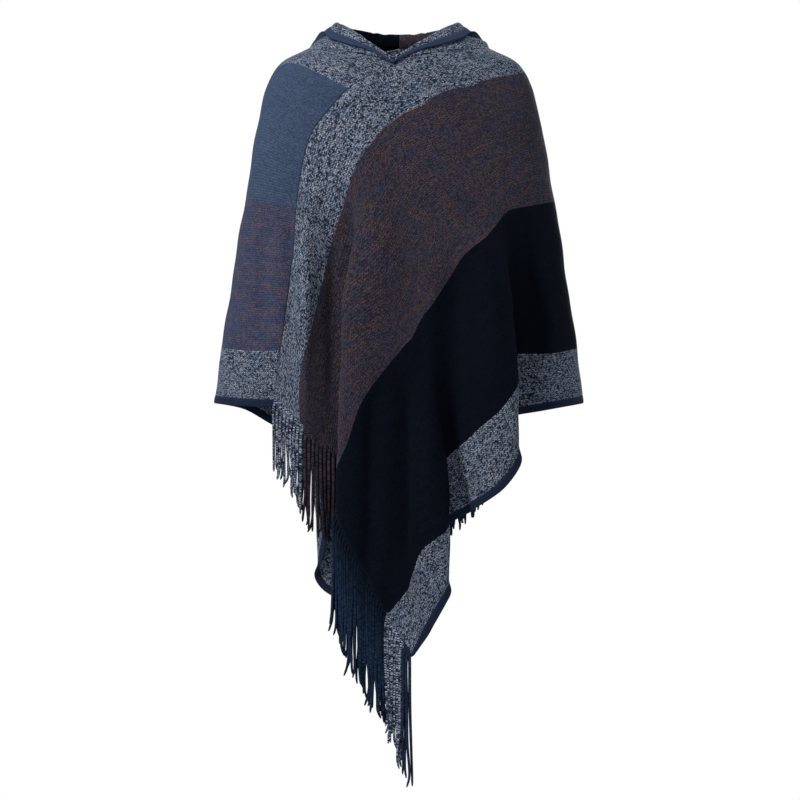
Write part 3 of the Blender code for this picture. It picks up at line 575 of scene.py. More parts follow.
def panel_columns(panel):
    """The stripe lines cut into the panel's columns, [line, column, (share, drop)], with one at the V."""
    lines = stripe_lines(panel)
    travels = [lengths_along(panel.surface(line[:, 0], line[:, 1])) for line in lines]
    corner = np.argmin(np.abs(np.linspace(0, 2, LINE_SAMPLES) - 1))
    share_at_v = travels[0][corner] / travels[0][-1]
    columns = np.linspace(0, 1, PANEL_COLUMNS + 1)
    columns[np.argmin(np.abs(columns - share_at_v))] = share_at_v
    cut = [resample(line, along / along[-1], columns) for line, along in zip(lines, travels)]
    return np.array(cut), columns


def stripe_of(distance):
    """The number of the stripe at a distance from the inner edge."""
    return np.clip(np.searchsorted(STRIPE_EDGES, distance, side="right") - 1, 0, len(STRIPE_ROWS) - 1)


def panel_rows():
    """Distances from the inner edge of the panel's rows of mesh, with one on each stripe edge."""
    spans = [np.linspace(low, high, rows + 1)[1:]
             for low, high, rows in zip(STRIPE_EDGES, STRIPE_EDGES[1:], STRIPE_ROWS)]
    return np.concatenate([[0], *spans])


def panel_cloth(panel):
    """Points of a panel, [column, row], with their places along the stripes and from the inner edge."""
    lines, columns = panel_columns(panel)
    rows = panel_rows()
    stations = np.array(STRIPE_EDGES)
    places = np.array([
        [smooth(rows, stations, lines[:, column, part]) for part in (0, 1)]
        for column in range(len(columns))])
    share, drop = places[:, 0], np.maximum(places[:, 1], SEAM_GAP)
    points = panel.surface(share.ravel(), drop.ravel()).reshape(*share.shape, 3)
    across, along = np.meshgrid(rows, columns * PANEL_LENGTH)
    return points, np.stack([along, across], axis=-1)


def grid_normals(points):
    """The normal at each point of a grid, away from the middle of the body."""
    normal = np.cross(np.gradient(points, axis=0), np.gradient(points, axis=1))
    normal /= np.maximum(np.linalg.norm(normal, axis=-1, keepdims=True), 1e-12)
    outward = (normal * points * (1, 1, 0)).sum()
    return normal if outward > 0 else -normal


def crease_heights(points, creases):
    """How far each point is raised by the creases of the side of the body that faces -Y."""
    x, z = points[..., 0], points[..., 2]
    height = np.zeros_like(x)
    for x_top, z_top, x_low, z_low, half_width, rise in creases.values():
        run = np.array([x_low - x_top, z_low - z_top])
        length = np.hypot(*run)
        run /= length
        along = (x - x_top) * run[0] + (z - z_top) * run[1]
        off = (x - x_top) * run[1] - (z - z_top) * run[0]
        share = along / length
        fade = ease(share, 0, CREASE_FADE) * ease(1 - share, 0, CREASE_FADE)
        height += rise * fade * np.exp(-((off / half_width) ** 2))
    return height * ease(-points[..., 1], *FOLD_SIDE)


def creased(points):
    """A grid of cloth points with the soft creases and the long waves."""
    turned = points * HALF_TURN
    height = crease_heights(points, FRONT_CREASES) + crease_heights(turned, BACK_CREASES)
    around = np.arctan2(points[..., 0], -points[..., 1])
    for across, down, phase, rise in DRIFT:
        turns = round(across * HEM_HALF_ROUND)
        height += rise * np.sin(turns * around + 2 * math.pi * down * points[..., 2] + phase)
    height *= ease(RINGS["neck_seam"][1] - points[..., 2], *DRIFT_TOP)
    return points + grid_normals(points) * height[..., None]


# ---- making meshes
def new_object(name, points, faces, uv, slots, finishes):
    """A piece from points and faces, with a UV in metres for each point and a finish for each face."""
    mesh = bpy.data.meshes.new(name)
    mesh.from_pydata(points.tolist(), [], faces.tolist())
    layer = mesh.uv_layers.new(name="cloth")
    corners = np.empty(len(mesh.loops), np.int32)
    mesh.loops.foreach_get("vertex_index", corners)
    layer.uv.foreach_set("vector", uv[corners].astype(np.float32).ravel())
    for finish in finishes:
        mesh.materials.append(finish)
    mesh.polygons.foreach_set("material_index", slots.astype(np.int32))
    mesh.shade_smooth()
    mesh.update()
    piece = bpy.data.objects.new(name, mesh)
    bpy.context.scene.collection.objects.link(piece)
    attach(piece, "root")
    return piece


def grid_faces(columns, rows, closed=False):
    """Faces of a grid numbered [column, row]; a closed one joins its last row to its first."""
    index = np.arange(columns * rows).reshape(columns, rows)
    if closed:
        index = np.concatenate([index, index[:, :1]], axis=1)
    corners = (index[:-1, :-1], index[:-1, 1:], index[1:, 1:], index[1:, :-1])
    return np.stack(corners, axis=-1).reshape(-1, 4)


def uv_grid(along, around):
    """The UV of each point of a tube, from the places of its rings and of the points of a ring."""
    return np.stack(np.broadcast_arrays(along[:, None], around[None]), axis=-1).reshape(-1, 2)


def cloth_object(name, points, uv, slots, finishes):
    """A sheet of cloth from a grid of points; `slots` is [column, row] of its faces."""
    columns, rows = points.shape[:2]
    faces = grid_faces(columns, rows)
    piece = new_object(name, points.reshape(-1, 3), faces, uv.reshape(-1, 2), slots.ravel(), finishes)
    wall = piece.modifiers.new("Wall", "SOLIDIFY")
    wall.thickness = CLOTH
    wall.offset = 0
    return piece


def tape_object(name, line, inner, far, finish):
    """A rib band over a cloth edge: a flat tube with rounded sides, from inside the edge out to `far`."""
    along = lengths_along(line)
    count = int(along[-1] / TAPE_STEP) + 1
    at = np.linspace(0, along[-1], count)
    line, inner, far = (resample(part, along, at) for part in (line, inner, far))
    _, normal = edge_frames(line, inner)
    width = np.linalg.norm(far - line, axis=1, keepdims=True)
    way = (far - line) / width
    middle = line + way * (width - TAPE_LAP) / 2
    half = (width + TAPE_LAP) / 2
    angle = np.arange(TAPE_SIDES) * 2 * math.pi / TAPE_SIDES
    out = np.sign(np.cos(angle)) * np.abs(np.cos(angle)) ** TAPE_FLAT
    up = np.sign(np.sin(angle)) * np.abs(np.sin(angle)) ** TAPE_ROUND
    points = (middle[:, None] + way[:, None] * half[:, None] * out[None, :, None]
              + normal[:, None] * TAPE_THICK / 2 * up[None, :, None])
    faces = grid_faces(count, TAPE_SIDES, closed=True)
    uv = uv_grid(at, angle / math.pi * BAND)
    piece = new_object(name, points.reshape(-1, 3), faces, uv, np.zeros(len(faces)), [finish])
    close_ends(piece.data, count, TAPE_SIDES)
    return piece


def hem_reach(edge, inside):
    """The outer edge of the rib band along a hem: turned evenly, and narrower where it ends at the point."""
    out, _ = edge_frames(edge, inside)
    padded = np.pad(out, ((HEM_EVEN, HEM_EVEN), (0, 0)), mode="edge")
    out = unit(sum(padded[k:k + len(out)] for k in range(2 * HEM_EVEN + 1)))
    width = HEM_BAND * (HEM_TIP_SHARE + (1 - HEM_TIP_SHARE) * ease(lengths_along(edge), 0, HEM_TAPER))
    return edge + out * (HEM_GAP + width)[:, None]


def close_ends(mesh, rings, sides):
    """Caps on the two ends of a tube, so that it is a closed body."""
    build = bmesh.new()
    build.from_mesh(mesh)
    build.verts.ensure_lookup_table()
    build.faces.new([build.verts[i] for i in range(sides)][::-1])
    build.faces.new([build.verts[(rings - 1) * sides + i] for i in range(sides)])
    bmesh.ops.recalc_face_normals(build, faces=build.faces)
    build.to_mesh(mesh)
    build.free()


# ---- the fringe
def strand_path(foot, normal, place, length, strand):
    """Points down the middle of one strand, from a little above the cloth edge."""
    bunch = STRAND_BUNCH * np.array([wave(strand, "bunch"), 0, 0])
    sway = STRAND_SWAY * np.array([wave(strand, "sway_x"), wave(strand, "sway_y"), 0])
    hook = STRAND_HOOK * np.array([wave(strand, "hook_x"), wave(strand, "hook_y") / 2, 0])
    bends = np.stack([bunch, sway, sway * wave(strand, "counter"), hook])
    down = np.array([0, 0, -1]) + normal * normal[2]
    hanging = np.array([*place, foot[2] - STRAND_TURN])
    keys = [
        foot - down * STRAND_ROOT,
        foot - down * STRAND_ROOT / 2 + normal * STRAND_PROUD,
        foot + normal * STRAND_PROUD,
        hanging,
    ]
    keys += [hanging - (0, 0, length * share) + parts @ bends for share, *parts in STRAND_BENDS]
    fine = through(np.array(keys), np.linspace(0, len(keys) - 1, STRAND_SAMPLES))
    along = lengths_along(fine)
    at = np.linspace(0, along[-1], int(along[-1] / STRAND_RING))
    return resample(fine, along, at), at


def strand_points(path, at, normal):
    """Rings of points round a strand: flat where it leaves the cloth, then rolled in."""
    tangent = unit(np.gradient(path, axis=0))
    front = unit(normal - (tangent @ normal)[:, None] * tangent)
    side = np.cross(tangent, front)
    shares, widths, thicknesses = columns_of(STRAND_SECTION)
    wide = smooth(at / at[-1], shares, widths)[:, None, None] / 2
    thick = smooth(at / at[-1], shares, thicknesses)[:, None, None] / 2
    angle = np.arange(STRAND_SIDES) * 2 * math.pi / STRAND_SIDES
    return (path[:, None] + side[:, None] * wide * np.cos(angle)[None, :, None]
            + front[:, None] * thick * np.sin(angle)[None, :, None])


def fringe_object(name, line, inner, finishes, shorter):
    """The strands of a fringed end, finished as the stripes that they grow from, the last as the band."""
    along = lengths_along(line)
    at = np.linspace(FRINGE_INSET, along[-1] - STRAND_APART / 2, STRANDS)
    out, normal = (resample(part, along, at) for part in edge_frames(line, inner))
    feet = resample(line, along, at)
    normal = unit(normal) * np.sign((normal * feet * (1, 1, 0)).sum(axis=1, keepdims=True))
    layers = np.resize(STRAND_LAYERS, STRANDS)[:, None]
    places = spread_apart((feet + out * STRAND_OUT + normal * layers)[:, :2], feet)
    share = np.linspace(0, 1, STRANDS)
    lengths = np.interp(share, *columns_of(STRAND_LENGTHS)) * (1 - shorter * ease(share, *SHORTER_FROM))
    finish = stripe_of(at / along[-1] * PANEL_WIDTH)
    finish[-TRIM_STRANDS:] = len(finishes) - 1
    turn = np.arange(STRAND_SIDES) / STRAND_SIDES
    points, faces, uv, slots = [], [], [], []
    for strand, foot in enumerate(feet):
        length = lengths[strand] + STRAND_UNEVEN * wave(strand, "length")
        path, travel = strand_path(foot, normal[strand], places[strand], length, strand)
        start = sum(map(len, points))
        points.append(strand_points(path, travel, normal[strand]).reshape(-1, 3))
        faces.append(grid_faces(len(path), STRAND_SIDES, closed=True) + start)
        uv.append(uv_grid(travel + strand, turn))
        slots.append(np.full(len(faces[-1]), finish[strand]))
    return new_object(name, *map(np.concatenate, (points, faces, uv, slots)), finishes)


# ---- the hood
def turned_out(around, crest, turned):
    """The points of a section whose cloth is turned out: down along the outside of its own rise."""
    seam = form(np.array([around]), np.zeros(1))[0]
    seam[0] -= RINGS["neck_seam"][-1] * (1 - around) ** 2
    down = seam - crest
    down /= np.linalg.norm(down)
    across = np.array([-1.0, 0, 0]) if abs(down[2]) > NEARLY_DOWN else np.cross(down, (0, 0, 1))
    out = np.cross(across, down)
    out /= np.linalg.norm(out)
    out = out if out[2] > 0 or -out[1] > FACES_FRONT else -out
    bottom, back = (crest + out * CREST_ROLL * rolls + down * turned * part for rolls, part in TURNED_FALL)
    return bottom, back, crest + out * TURNED_CLEAR + down * turned


def hood_key_points():
    """For each row of the two tables: its place around the neck, and its four key points."""
    places = []
    points = []
    for around, crest, turned in HOOD_TURNED:
        places.append(around)
        points.append((crest, *turned_out(around, np.array(crest), turned)))
    for around, *keys in HOOD_BAG:
        places.append(around)
        points.append(keys)
    return np.array(places), np.array(points)


def hood_sections(side):
    """One half of the hood, [section, point], from the neck seam to the band, and the band's free edge."""
    around = np.linspace(0, 1, HOOD_COLUMNS)
    places, points = hood_key_points()
    crest, bottom, back, edge = (
        np.stack([smooth(around, places, points[:, key, axis], axis > 0) for axis in range(3)], axis=1)
        for key in range(4))
    for part in (crest, bottom, back, edge):
        part *= (side, 1, 1)
        part[:, 0] += RINGS["neck_seam"][-1] * (1 - around) ** 2
    seam = form(side * around, np.zeros(HOOD_COLUMNS))
    below = form(side * around, np.full(HOOD_COLUMNS, FOOT_DROP))
    away = unit((bottom - crest) * (1, 1, 0))
    behind = ease(around, *BEHIND_NECK)[:, None]
    over = crest + away * (CREST_ROLL / 2 + (BACK_ROLL - CREST_ROLL / 2) * behind)
    over += (0, 0, CREST_ROLL) * (CREST_RISE - (CREST_RISE + CREST_DROP) * behind)
    middle = (over + bottom) / 2 + away * FALL_BULGE * behind
    swell = SIDE_SWELL[side] * np.exp(-(((around - SWELL_AT) / SWELL_SPREAD) ** 2))[:, None]
    rise = unit(seam - below)
    foot = seam + rise * NECK_GAP
    start = seam + rise * RISE_FOOT
    slack = seam + SLACK_AT * (crest - seam) + unit(seam * (1, 1, 0)) * swell
    bed = seam + BED_AT * (crest - seam) - (0, 0, SWELL_SINK) * swell
    last = edge - back
    length = np.linalg.norm(last, axis=1, keepdims=True)
    rim = edge - last * np.minimum((BAND + HEM_GAP) / length, RIM_MOST)
    path = np.stack([foot, start, slack, bed, crest, over, middle, bottom, back, rim])
    at = np.concatenate([[0]] + [k + np.linspace(0, 1, n + 1)[1:] for k, n in enumerate(HOOD_STEPS)])
    return np.stack([through(path[:, k], at) for k in range(HOOD_COLUMNS)]), edge


# ---- the garment
def build_panel(name, panel, stripes, rib_finish, yarns, shorter=0.0):
    """A panel with the band along its hem and the fringe along its free end."""
    points, uv = panel_cloth(panel)
    points = creased(points)
    middles = (uv[:-1, :-1, 1] + uv[1:, 1:, 1]) / 2
    edge, inside = points[:, -1], points[:, -2]
    cloth = cloth_object(f"{name}_panel_knit", points, uv, stripe_of(middles), stripes)
    band = tape_object(f"{name}_hem_rib", edge, inside, hem_reach(edge, inside), rib_finish)
    fringe = fringe_object(f"{name}_fringe_yarn", points[0], points[1], yarns, shorter)
    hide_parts(f"{name}_panel")
    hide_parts(f"{name}_hem_band")
    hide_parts(f"{name}_fringe")


def hood_half(name, side, base, stripe):
    """One half of the hood, with rows that follow its free edge; it returns what its band needs."""
    cloth, free_edge = hood_sections(side)
    around = np.linspace(0, 1, HOOD_COLUMNS)
    widths = np.interp(around, *columns_of(HOOD_STRIPE))
    sections, distances = [], []
    for section, width in zip(cloth, widths):
        along = lengths_along(section)
        length = along[-1]
        split = length - min(width, length - HOOD_ROWS * ROW_LEAST)
        at = np.append(np.linspace(0, split, HOOD_ROWS + 1), np.linspace(split, length, HOOD_ROWS + 1)[1:])
        sections.append(resample(section, along, at))
        distances.append(length - at)
    points, distances = np.array(sections), np.array(distances)
    across = np.broadcast_to(around[:, None] * NECK_HALF_ROUND, distances.shape)
    middles = (distances[:-1, :-1] + distances[1:, 1:]) / 2
    is_base = middles > widths[:-1, None] + ROW_LEAST / 4
    uv = np.stack([across, distances], axis=-1)
    piece = cloth_object(f"{name}_knit", points, uv, is_base, [stripe, base])
    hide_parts(name)
    return points[:, -1], points[:, -2], free_edge


# ---- materials
# Colours are linear. `dark` and `light` are the two yarns that are spun together: a stitch whose chance is
# under `start` is dark, over `end` light. In patches the light yarn turns to `other`. `rows` is how much the
# rows of stitches differ, `haze` is the fuzz and `gloss` the shine.
# Some palettes below are copies of another with painted light or painted shade, as noted at each.
KNIT_COLUMNS = ("dark", "light", "other", "start", "end", "rows", "haze", "gloss")
KNITS = {
    "heather": (
        (0.007, 0.012, 0.024), (0.330, 0.350, 0.410), (0.240, 0.280, 0.360), 0.38, 0.95, 0.26, 0.04, 0.15),
    "brown_melange": (
        (0.014, 0.013, 0.023), (0.118, 0.070, 0.063), (0.066, 0.062, 0.088), 0.25, 1.15, 0.22, 0.04, 0.10),
    # the brown yarn darkened with painted shade: the fringe hangs in the shade of the fold above it
    "brown_yarn_painted_shade": (
        (0.006, 0.005, 0.010), (0.062, 0.036, 0.034), (0.030, 0.028, 0.044), 0.20, 1.15, 0.10, 0.03, 0.08),
    # the brown melange lightened and blued with painted light and painted sheen from the left: a lit copy
    # for the back panel's stripe
    "brown_painted_light": (
        (0.018, 0.022, 0.042), (0.110, 0.080, 0.108), (0.056, 0.070, 0.124), 0.10, 1.05, 0.22, 0.05, 0.10),
    "navy": (
        (0.0016, 0.0028, 0.0058), (0.0042, 0.0066, 0.0125), (0.003, 0.0055, 0.011),
        0.2, 1.0, 0.10, 0.01, 0.04),
    "navy_yarn": (
        (0.003, 0.007, 0.016), (0.018, 0.034, 0.066), (0.013, 0.027, 0.055), 0.20, 1.00, 0.10, 0.02, 0.06),
    # the navy lightened and blued with painted light and painted sheen from the left: a lit copy of the navy
    # for the back panel's stripe
    "navy_painted_light": (
        (0.024, 0.037, 0.066), (0.062, 0.088, 0.142), (0.050, 0.076, 0.130), 0.20, 1.00, 0.18, 0.06, 0.10),
    # the rib's navy lightened with painted light where the hood's band catches the lamps: a lit copy of
    # trim_navy
    "rib_painted_light": (
        (0.014, 0.023, 0.046), (0.040, 0.062, 0.112), (0.030, 0.052, 0.100), 0.20, 1.00, 0.12, 0.05, 0.08),
    "trim_navy": (
        (0.005, 0.009, 0.020), (0.018, 0.029, 0.058), (0.014, 0.025, 0.052), 0.20, 1.00, 0.10, 0.03, 0.08),
}
STITCH_WIDTH = 0.0022
STITCH_HEIGHT = 0.0015
STITCH_DEPTH = 0.0006
LEG_SLOPE = 0.50  # how far each leg of a stitch leans, in stitch heights
LOOP_RELIEF = 0.35  # how much the loops show along a leg, as a share of the stitch's relief
TWIST = 0.30  # share of the alternation in a stitch's chance; the rest is uneven
STREAK_LENGTH = 0.040
STREAK_HEIGHT = 0.0030
ROW_PITCH = 0.0034  # every second row stands out a little
PATCH_LENGTH = 0.035  # of the patches in which the light yarn changes its colour, along and across the rows
PATCH_SIZE = 0.012
PATCH_EDGE = (0.4, 0.6)  # the noise values between which one colour turns to the other
MOTTLE_SIZE = 0.10
MOTTLE = 0.24  # how much the soft mottling changes the shade
ROUGHNESS = 0.85  # at least, and the mottling adds up to this much
ROUGHNESS_MOTTLE = 0.10
RELIEF_STRENGTH = 0.8
SHEEN_ROUGHNESS = 0.45
SHEEN_TINT = (0.62, 0.75, 1.0, 1)
STRAND_TURNS = 3.0  # stitches round a strand
STRAND_FLECK = 0.0018
STRAND_PAINTED_SHADE_TO = 0.11  # the painted shade along a strand ends here; from here down the strand is not scaled
FIBRE_SIZE = 1 / 900
FIBRE_DETAIL = 3.0
FLOOR_GREYS = ((0.78, 0.78, 0.78, 1), (0.84, 0.84, 0.84, 1))
FLOOR_ROUGHNESS = 0.7
FLOOR_GRAIN = 1 / 30


class Number:
    """A number in a node tree, with Python's arithmetic."""

    def __init__(self, graph, socket):
        self.graph = graph
        self.socket = socket

    def by(self, operation, *others):
        """What a math node makes of this number and others."""
        return self.graph.number("ShaderNodeMath", dict(enumerate((self, *others))), operation=operation)

    def __add__(self, other):
        return self.by("ADD", other)

    def __sub__(self, other):
        return self.by("SUBTRACT", other)

    def __mul__(self, other):
        return self.by("MULTIPLY", other)

    def __truediv__(self, other):
        return self.by("DIVIDE", other)


class Graph:
    """The node tree of one material, with short calls for the nodes that it is made of."""

    def __init__(self, name):
        self.material = bpy.data.materials.new(name)
        self.material.use_nodes = True
        self.tree = self.material.node_tree
        self.shader = self.tree.nodes["Principled BSDF"]

    def feed(self, made, inputs):
        """The inputs of a node: another node's output is linked to it, and a constant is set on it."""
        for key, value in inputs.items():
            value = getattr(value, "socket", value)
            if isinstance(value, bpy.types.NodeSocket):
                self.tree.links.new(value, made.inputs[key])
            else:
                made.inputs[key].default_value = value

    def node(self, kind, inputs, output=0, **settings):
        """One output of a new node with these inputs and settings."""
        made = self.tree.nodes.new(kind)
        for key, value in settings.items():
            setattr(made, key, value)
        self.feed(made, inputs)
        return made.outputs[output]

    def number(self, kind, inputs, output=0, **settings):
        return Number(self, self.node(kind, inputs, output, **settings))

    def vector(self, x, y):
        return self.node("ShaderNodeCombineXYZ", {"X": x, "Y": y})

    def noise(self, place, size, detail=2.0):
        return self.number("ShaderNodeTexNoise", {"Vector": place, "Scale": 1 / size, "Detail": detail})

    def object_place(self):
        return self.node("ShaderNodeTexCoord", {}, output="Object")

    def stretch(self, value, low, high, to_low=0.0, to_high=1.0):
        """The span from `low` to `high` mapped to the one from `to_low` to `to_high`, and kept inside it."""
        inputs = {"Value": value, "From Min": low, "From Max": high, "To Min": to_low, "To Max": to_high}
        return self.number("ShaderNodeMapRange", inputs)

    def mix(self, factor, dark, light):
        """One of two colours, or a blend of them."""
        return self.node("ShaderNodeMix", {0: factor, 6: dark, 7: light}, output=2, data_type="RGBA")

    def scaled(self, colour, level):
        return self.node("ShaderNodeVectorMath", {0: colour, "Scale": level}, operation="SCALE")


class Cloth(Graph):
    """A material of one of the knits."""

    def __init__(self, name, palette):
        super().__init__(name)
        self.look = dict(zip(KNIT_COLUMNS, KNITS[palette]))

    def colour(self, key):
        return (*self.look[key], 1)

    def place(self):
        """The two cloth coordinates: along the stripes and across them, in metres."""
        uv = self.node("ShaderNodeUVMap", {}, uv_map="cloth")
        return [self.number("ShaderNodeSeparateXYZ", {0: uv}, output=axis) for axis in (0, 1)]

    def two_yarns(self, column, row, along, across):
        """The colour of the stitch in this column and row: light and dark ones partly take turns."""
        stitch = {"Vector": self.vector(column, row)}
        chance = self.number("ShaderNodeTexWhiteNoise", stitch, noise_dimensions="3D")
        chance = chance * (1 - TWIST) + (column + row).by("PINGPONG", 1.0) * TWIST
        fleck = self.stretch(chance, self.look["start"], self.look["end"])
        patches = self.noise(self.vector(along / PATCH_LENGTH, across / PATCH_SIZE), 1.0)
        light = self.mix(self.stretch(patches, *PATCH_EDGE), self.colour("light"), self.colour("other"))
        return self.mix(fleck, self.colour("dark"), light)

    def shaded(self, colour, along, across):
        """The colour with lighter rows, streaks along them and broad mottling; and the roughness."""
        uneven = self.look["rows"]
        streaks = self.noise(self.vector(along / STREAK_LENGTH, across / STREAK_HEIGHT), 1.0)
        mottling = self.noise(self.object_place(), MOTTLE_SIZE)
        line = (across * (2 * math.pi / ROW_PITCH)).by("SINE")
        level = (streaks * (2 * uneven) + (1 - uneven)) * (line * uneven + 1.0)
        level = level * (mottling * MOTTLE + (1 - MOTTLE / 2))
        return self.scaled(colour, level), mottling * ROUGHNESS_MOTTLE + ROUGHNESS

    def finish(self, colour, roughness, height):
        """The cloth's colour, roughness, relief and fuzz on the shader."""
        relief = {"Height": height, "Distance": STITCH_DEPTH, "Strength": RELIEF_STRENGTH}
        self.feed(self.shader, {
            "Base Color": colour,
            "Roughness": roughness,
            "Normal": self.node("ShaderNodeBump", relief),
            "Specular IOR Level": self.look["gloss"],
            "Sheen Weight": self.look["haze"],
            "Sheen Roughness": SHEEN_ROUGHNESS,
            "Sheen Tint": SHEEN_TINT,
        })
        return self.material


def knit(name, palette):
    """Plain knitting: rows of V stitches, each with its own share of the two yarns spun together."""
    cloth = Cloth(name, palette)
    along, across = cloth.place()
    wale = along / STITCH_WIDTH
    off_middle = (wale.by("FRACT") - 0.5).by("ABSOLUTE")
    leaning = off_middle * (2 * LEG_SLOPE) + across / STITCH_HEIGHT
    legs = (off_middle * (2 * math.pi)).by("SINE")
    loops = (leaning * (2 * math.pi)).by("COSINE")
    height = legs * (loops * LOOP_RELIEF + (1 - LOOP_RELIEF))
    colour = cloth.two_yarns(wale.by("FLOOR"), leaning.by("FLOOR"), along, across)
    return cloth.finish(*cloth.shaded(colour, along, across), height)


def yarn(name, palette, root=1.0):
    """A strand of the fringe: flecks in columns down the strand, with painted shade near the root: the
    colour is scaled by `root` there, and by 1 from a little way down.
    """
    cloth = Cloth(name, palette)
    along, around = cloth.place()
    side = around * STRAND_TURNS
    ribs = (side * math.pi).by("SINE").by("ABSOLUTE")
    colour = cloth.two_yarns((along / STRAND_FLECK).by("FLOOR"), side.by("FLOOR"), along, around)
    colour, roughness = cloth.shaded(colour, along, around)
    # painted shade along the strand: the colour is scaled from `root` at the root to 1 a little way down
    shade = cloth.stretch(along.by("FRACT"), STRAND_ROOT, STRAND_PAINTED_SHADE_TO, root, 1.0)
    return cloth.finish(cloth.scaled(colour, shade), roughness, ribs)


def rib(name, palette):
    """The narrow rib band: fine ribs across its width."""
    cloth = Cloth(name, palette)
    along, across = cloth.place()
    ribs = (along * (math.pi / STITCH_WIDTH)).by("SINE").by("ABSOLUTE")
    fibres = cloth.noise(cloth.vector(along, across), FIBRE_SIZE, FIBRE_DETAIL)
    colour = cloth.mix(ribs * fibres, cloth.colour("dark"), cloth.colour("light"))
    return cloth.finish(*cloth.shaded(colour, along, across), ribs)


# ---- the studio
# Round soft lamps: place, target, size, power and colour.
LIGHTS = {
    "key": ((-1.9, -1.9, 1.2), (-0.1, 0.0, -0.30), 0.7, 92.0, (0.97, 0.97, 1.0)),
    "fill": ((1.4, -3.6, 0.4), (0.0, 0.0, -0.50), 2.2, 16.0, (0.90, 0.95, 1.0)),
    "left_edge": ((-2.6, 0.8, 1.3), (0.0, 0.0, -0.10), 1.2, 40.0, (0.68, 0.84, 1.0)),
    "top": ((0.2, -1.0, 2.6), (0.0, 0.0, 0.0), 1.2, 22.0, (0.85, 0.93, 1.0)),
    "behind": ((0.9, 3.6, 1.0), (0.0, 0.0, -0.40), 1.6, 110.0, (0.92, 0.96, 1.0)),
    "right_side": ((3.4, 0.9, 0.6), (0.0, 0.0, -0.40), 1.6, 45.0, (0.90, 0.95, 1.0)),
}
AMBIENT = (0.75, 0.85, 1.0, 1)
AMBIENT_STRENGTH = 0.22
FLOOR_Z = -1.30
FLOOR_RADIUS = 1.2
FLOOR_SIDES = 96
CAMERA_AT = (0.001, -6.0, -0.5325)
CAMERA_LENS = 180.0
CAMERA_SENSOR = 36.0


def light_up():
    """The lamps, and a world that is white to the camera and faint blue light to everything else."""
    scene = bpy.context.scene
    for name, (place, target, size, power, colour) in LIGHTS.items():
        lamp = bpy.data.lights.new(name, "AREA")
        lamp.shape = "DISK"
        lamp.size = size
        lamp.energy = power
        lamp.color = colour
        made = bpy.data.objects.new(name, lamp)
        made.location = place
        made.rotation_mode = "QUATERNION"
        made.rotation_quaternion = (Vector(place) - Vector(target)).to_track_quat("Z", "Y")
        scene.collection.objects.link(made)
    world = bpy.data.worlds.new("studio")
    world.use_nodes = True
    scene.world = world
    tree = world.node_tree
    seen = tree.nodes["Background"]
    seen.inputs["Color"].default_value = (1, 1, 1, 1)
    ambient = tree.nodes.new("ShaderNodeBackground")
    ambient.inputs["Color"].default_value = AMBIENT
    ambient.inputs["Strength"].default_value = AMBIENT_STRENGTH
    path = tree.nodes.new("ShaderNodeLightPath")
    both = tree.nodes.new("ShaderNodeMixShader")
    tree.links.new(path.outputs["Is Camera Ray"], both.inputs[0])
    tree.links.new(ambient.outputs[0], both.inputs[1])
    tree.links.new(seen.outputs[0], both.inputs[2])
    tree.links.new(both.outputs[0], tree.nodes["World Output"].inputs["Surface"])
    scene.view_settings.view_transform = "Standard"


def lay_floor():
    """A pale round floor under the hanging garment, below what the camera sees."""
    bpy.ops.mesh.primitive_circle_add(
        vertices=FLOOR_SIDES, radius=FLOOR_RADIUS, fill_type="NGON", location=(0, 0, FLOOR_Z))
    floor = bpy.context.object
    floor.name = "studio_floor"
    graph = Graph("pale_floor")
    colour = graph.mix(graph.noise(graph.object_place(), FLOOR_GRAIN), *FLOOR_GREYS)
    graph.feed(graph.shader, {"Base Color": colour, "Roughness": FLOOR_ROUGHNESS})
    floor.data.materials.append(graph.material)


def place_camera():
    """A level camera in front of the garment."""
    lens = bpy.data.cameras.new("camera")
    lens.lens = CAMERA_LENS
    lens.sensor_width = CAMERA_SENSOR
    camera = bpy.data.objects.new("camera", lens)
    camera.location = CAMERA_AT
    camera.rotation_euler = (math.pi / 2, 0, 0)
    bpy.context.scene.collection.objects.link(camera)
    bpy.context.scene.camera = camera


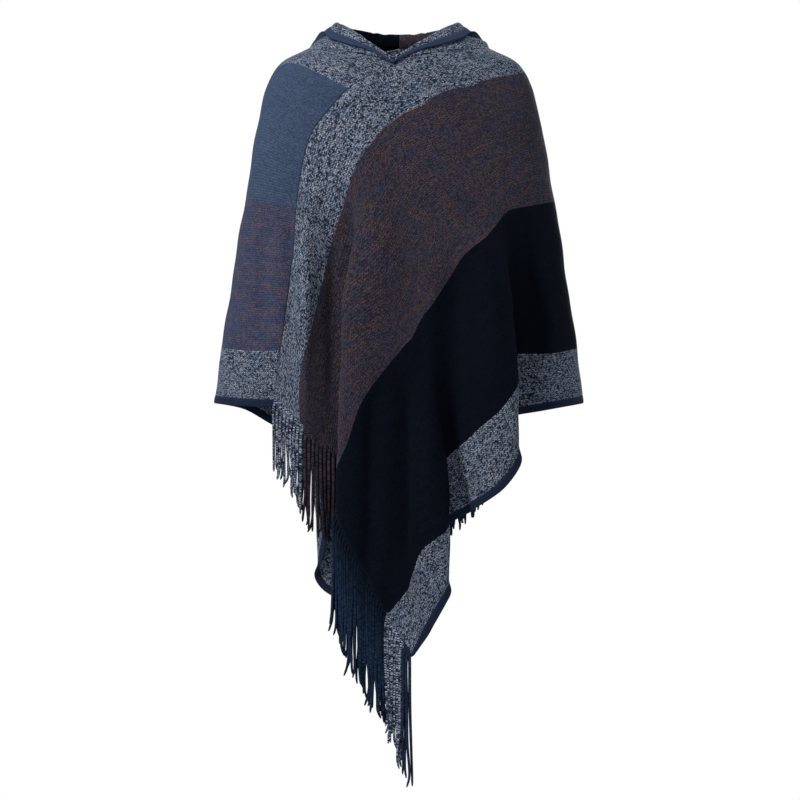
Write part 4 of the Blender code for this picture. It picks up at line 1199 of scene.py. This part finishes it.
def main():
    place_camera()
    light_up()
    lay_floor()
    heather = knit("heather_knit_stitches", "heather")
    brown = knit("brown_melange_stitches", "brown_melange")
    navy = knit("navy_stitches", "navy")
    navy_lit_painted = knit("navy_painted_light_stitches", "navy_painted_light")
    brown_lit_painted = knit("brown_painted_light_stitches", "brown_painted_light")
    navy_rib = rib("navy_rib", "trim_navy")
    heather_yarn = yarn("heather_yarn", "heather")
    # brown strands: the yarn carries painted shade, and the root is brightened 1.7 times so that it meets
    # the cloth
    brown_yarn_painted_shade = yarn("brown_yarn_painted_shade", "brown_yarn_painted_shade", root=1.7)
    # navy strands: painted shade darkens them to 0.3 at the root
    navy_yarn = yarn("navy_yarn", "navy_yarn", root=0.3)
    trim_yarn = yarn("trim_yarn", "trim_navy")

    front = Panel(turned=False, edge=FRONT_EDGE, folds=FRONT_FOLDS)
    build_panel("front", front, [heather, brown, navy, heather], navy_rib,
                [heather_yarn, brown_yarn_painted_shade, navy_yarn, heather_yarn, trim_yarn])
    # the back panel's navy and brown stripes are lit copies of the front's, with painted light
    back = Panel(turned=True, edge=BACK_EDGE, folds=BACK_FOLDS)
    build_panel("back", back, [heather, navy_lit_painted, brown_lit_painted, heather], navy_rib,
                [heather_yarn, navy_yarn, brown_yarn_painted_shade, heather_yarn, trim_yarn], BACK_SHORTER)

    halves = (
        hood_half("hood_left", -1, navy, heather),
        hood_half("hood_right", 1, brown, heather),
    )
    around_face = [np.concatenate([left[::-1], right[1:]]) for left, right in zip(*halves)]
    # the hood's band takes the rib lightened with painted light
    band = tape_object("hood_rib", *around_face, rib("rib_painted_light", "rib_painted_light"))
    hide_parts("hood_band")


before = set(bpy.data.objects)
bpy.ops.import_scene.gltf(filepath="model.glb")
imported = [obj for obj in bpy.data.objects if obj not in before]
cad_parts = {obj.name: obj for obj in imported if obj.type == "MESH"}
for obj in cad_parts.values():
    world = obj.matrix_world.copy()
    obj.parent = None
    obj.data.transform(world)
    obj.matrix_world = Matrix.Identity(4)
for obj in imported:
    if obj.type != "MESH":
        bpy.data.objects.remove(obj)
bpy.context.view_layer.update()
main()
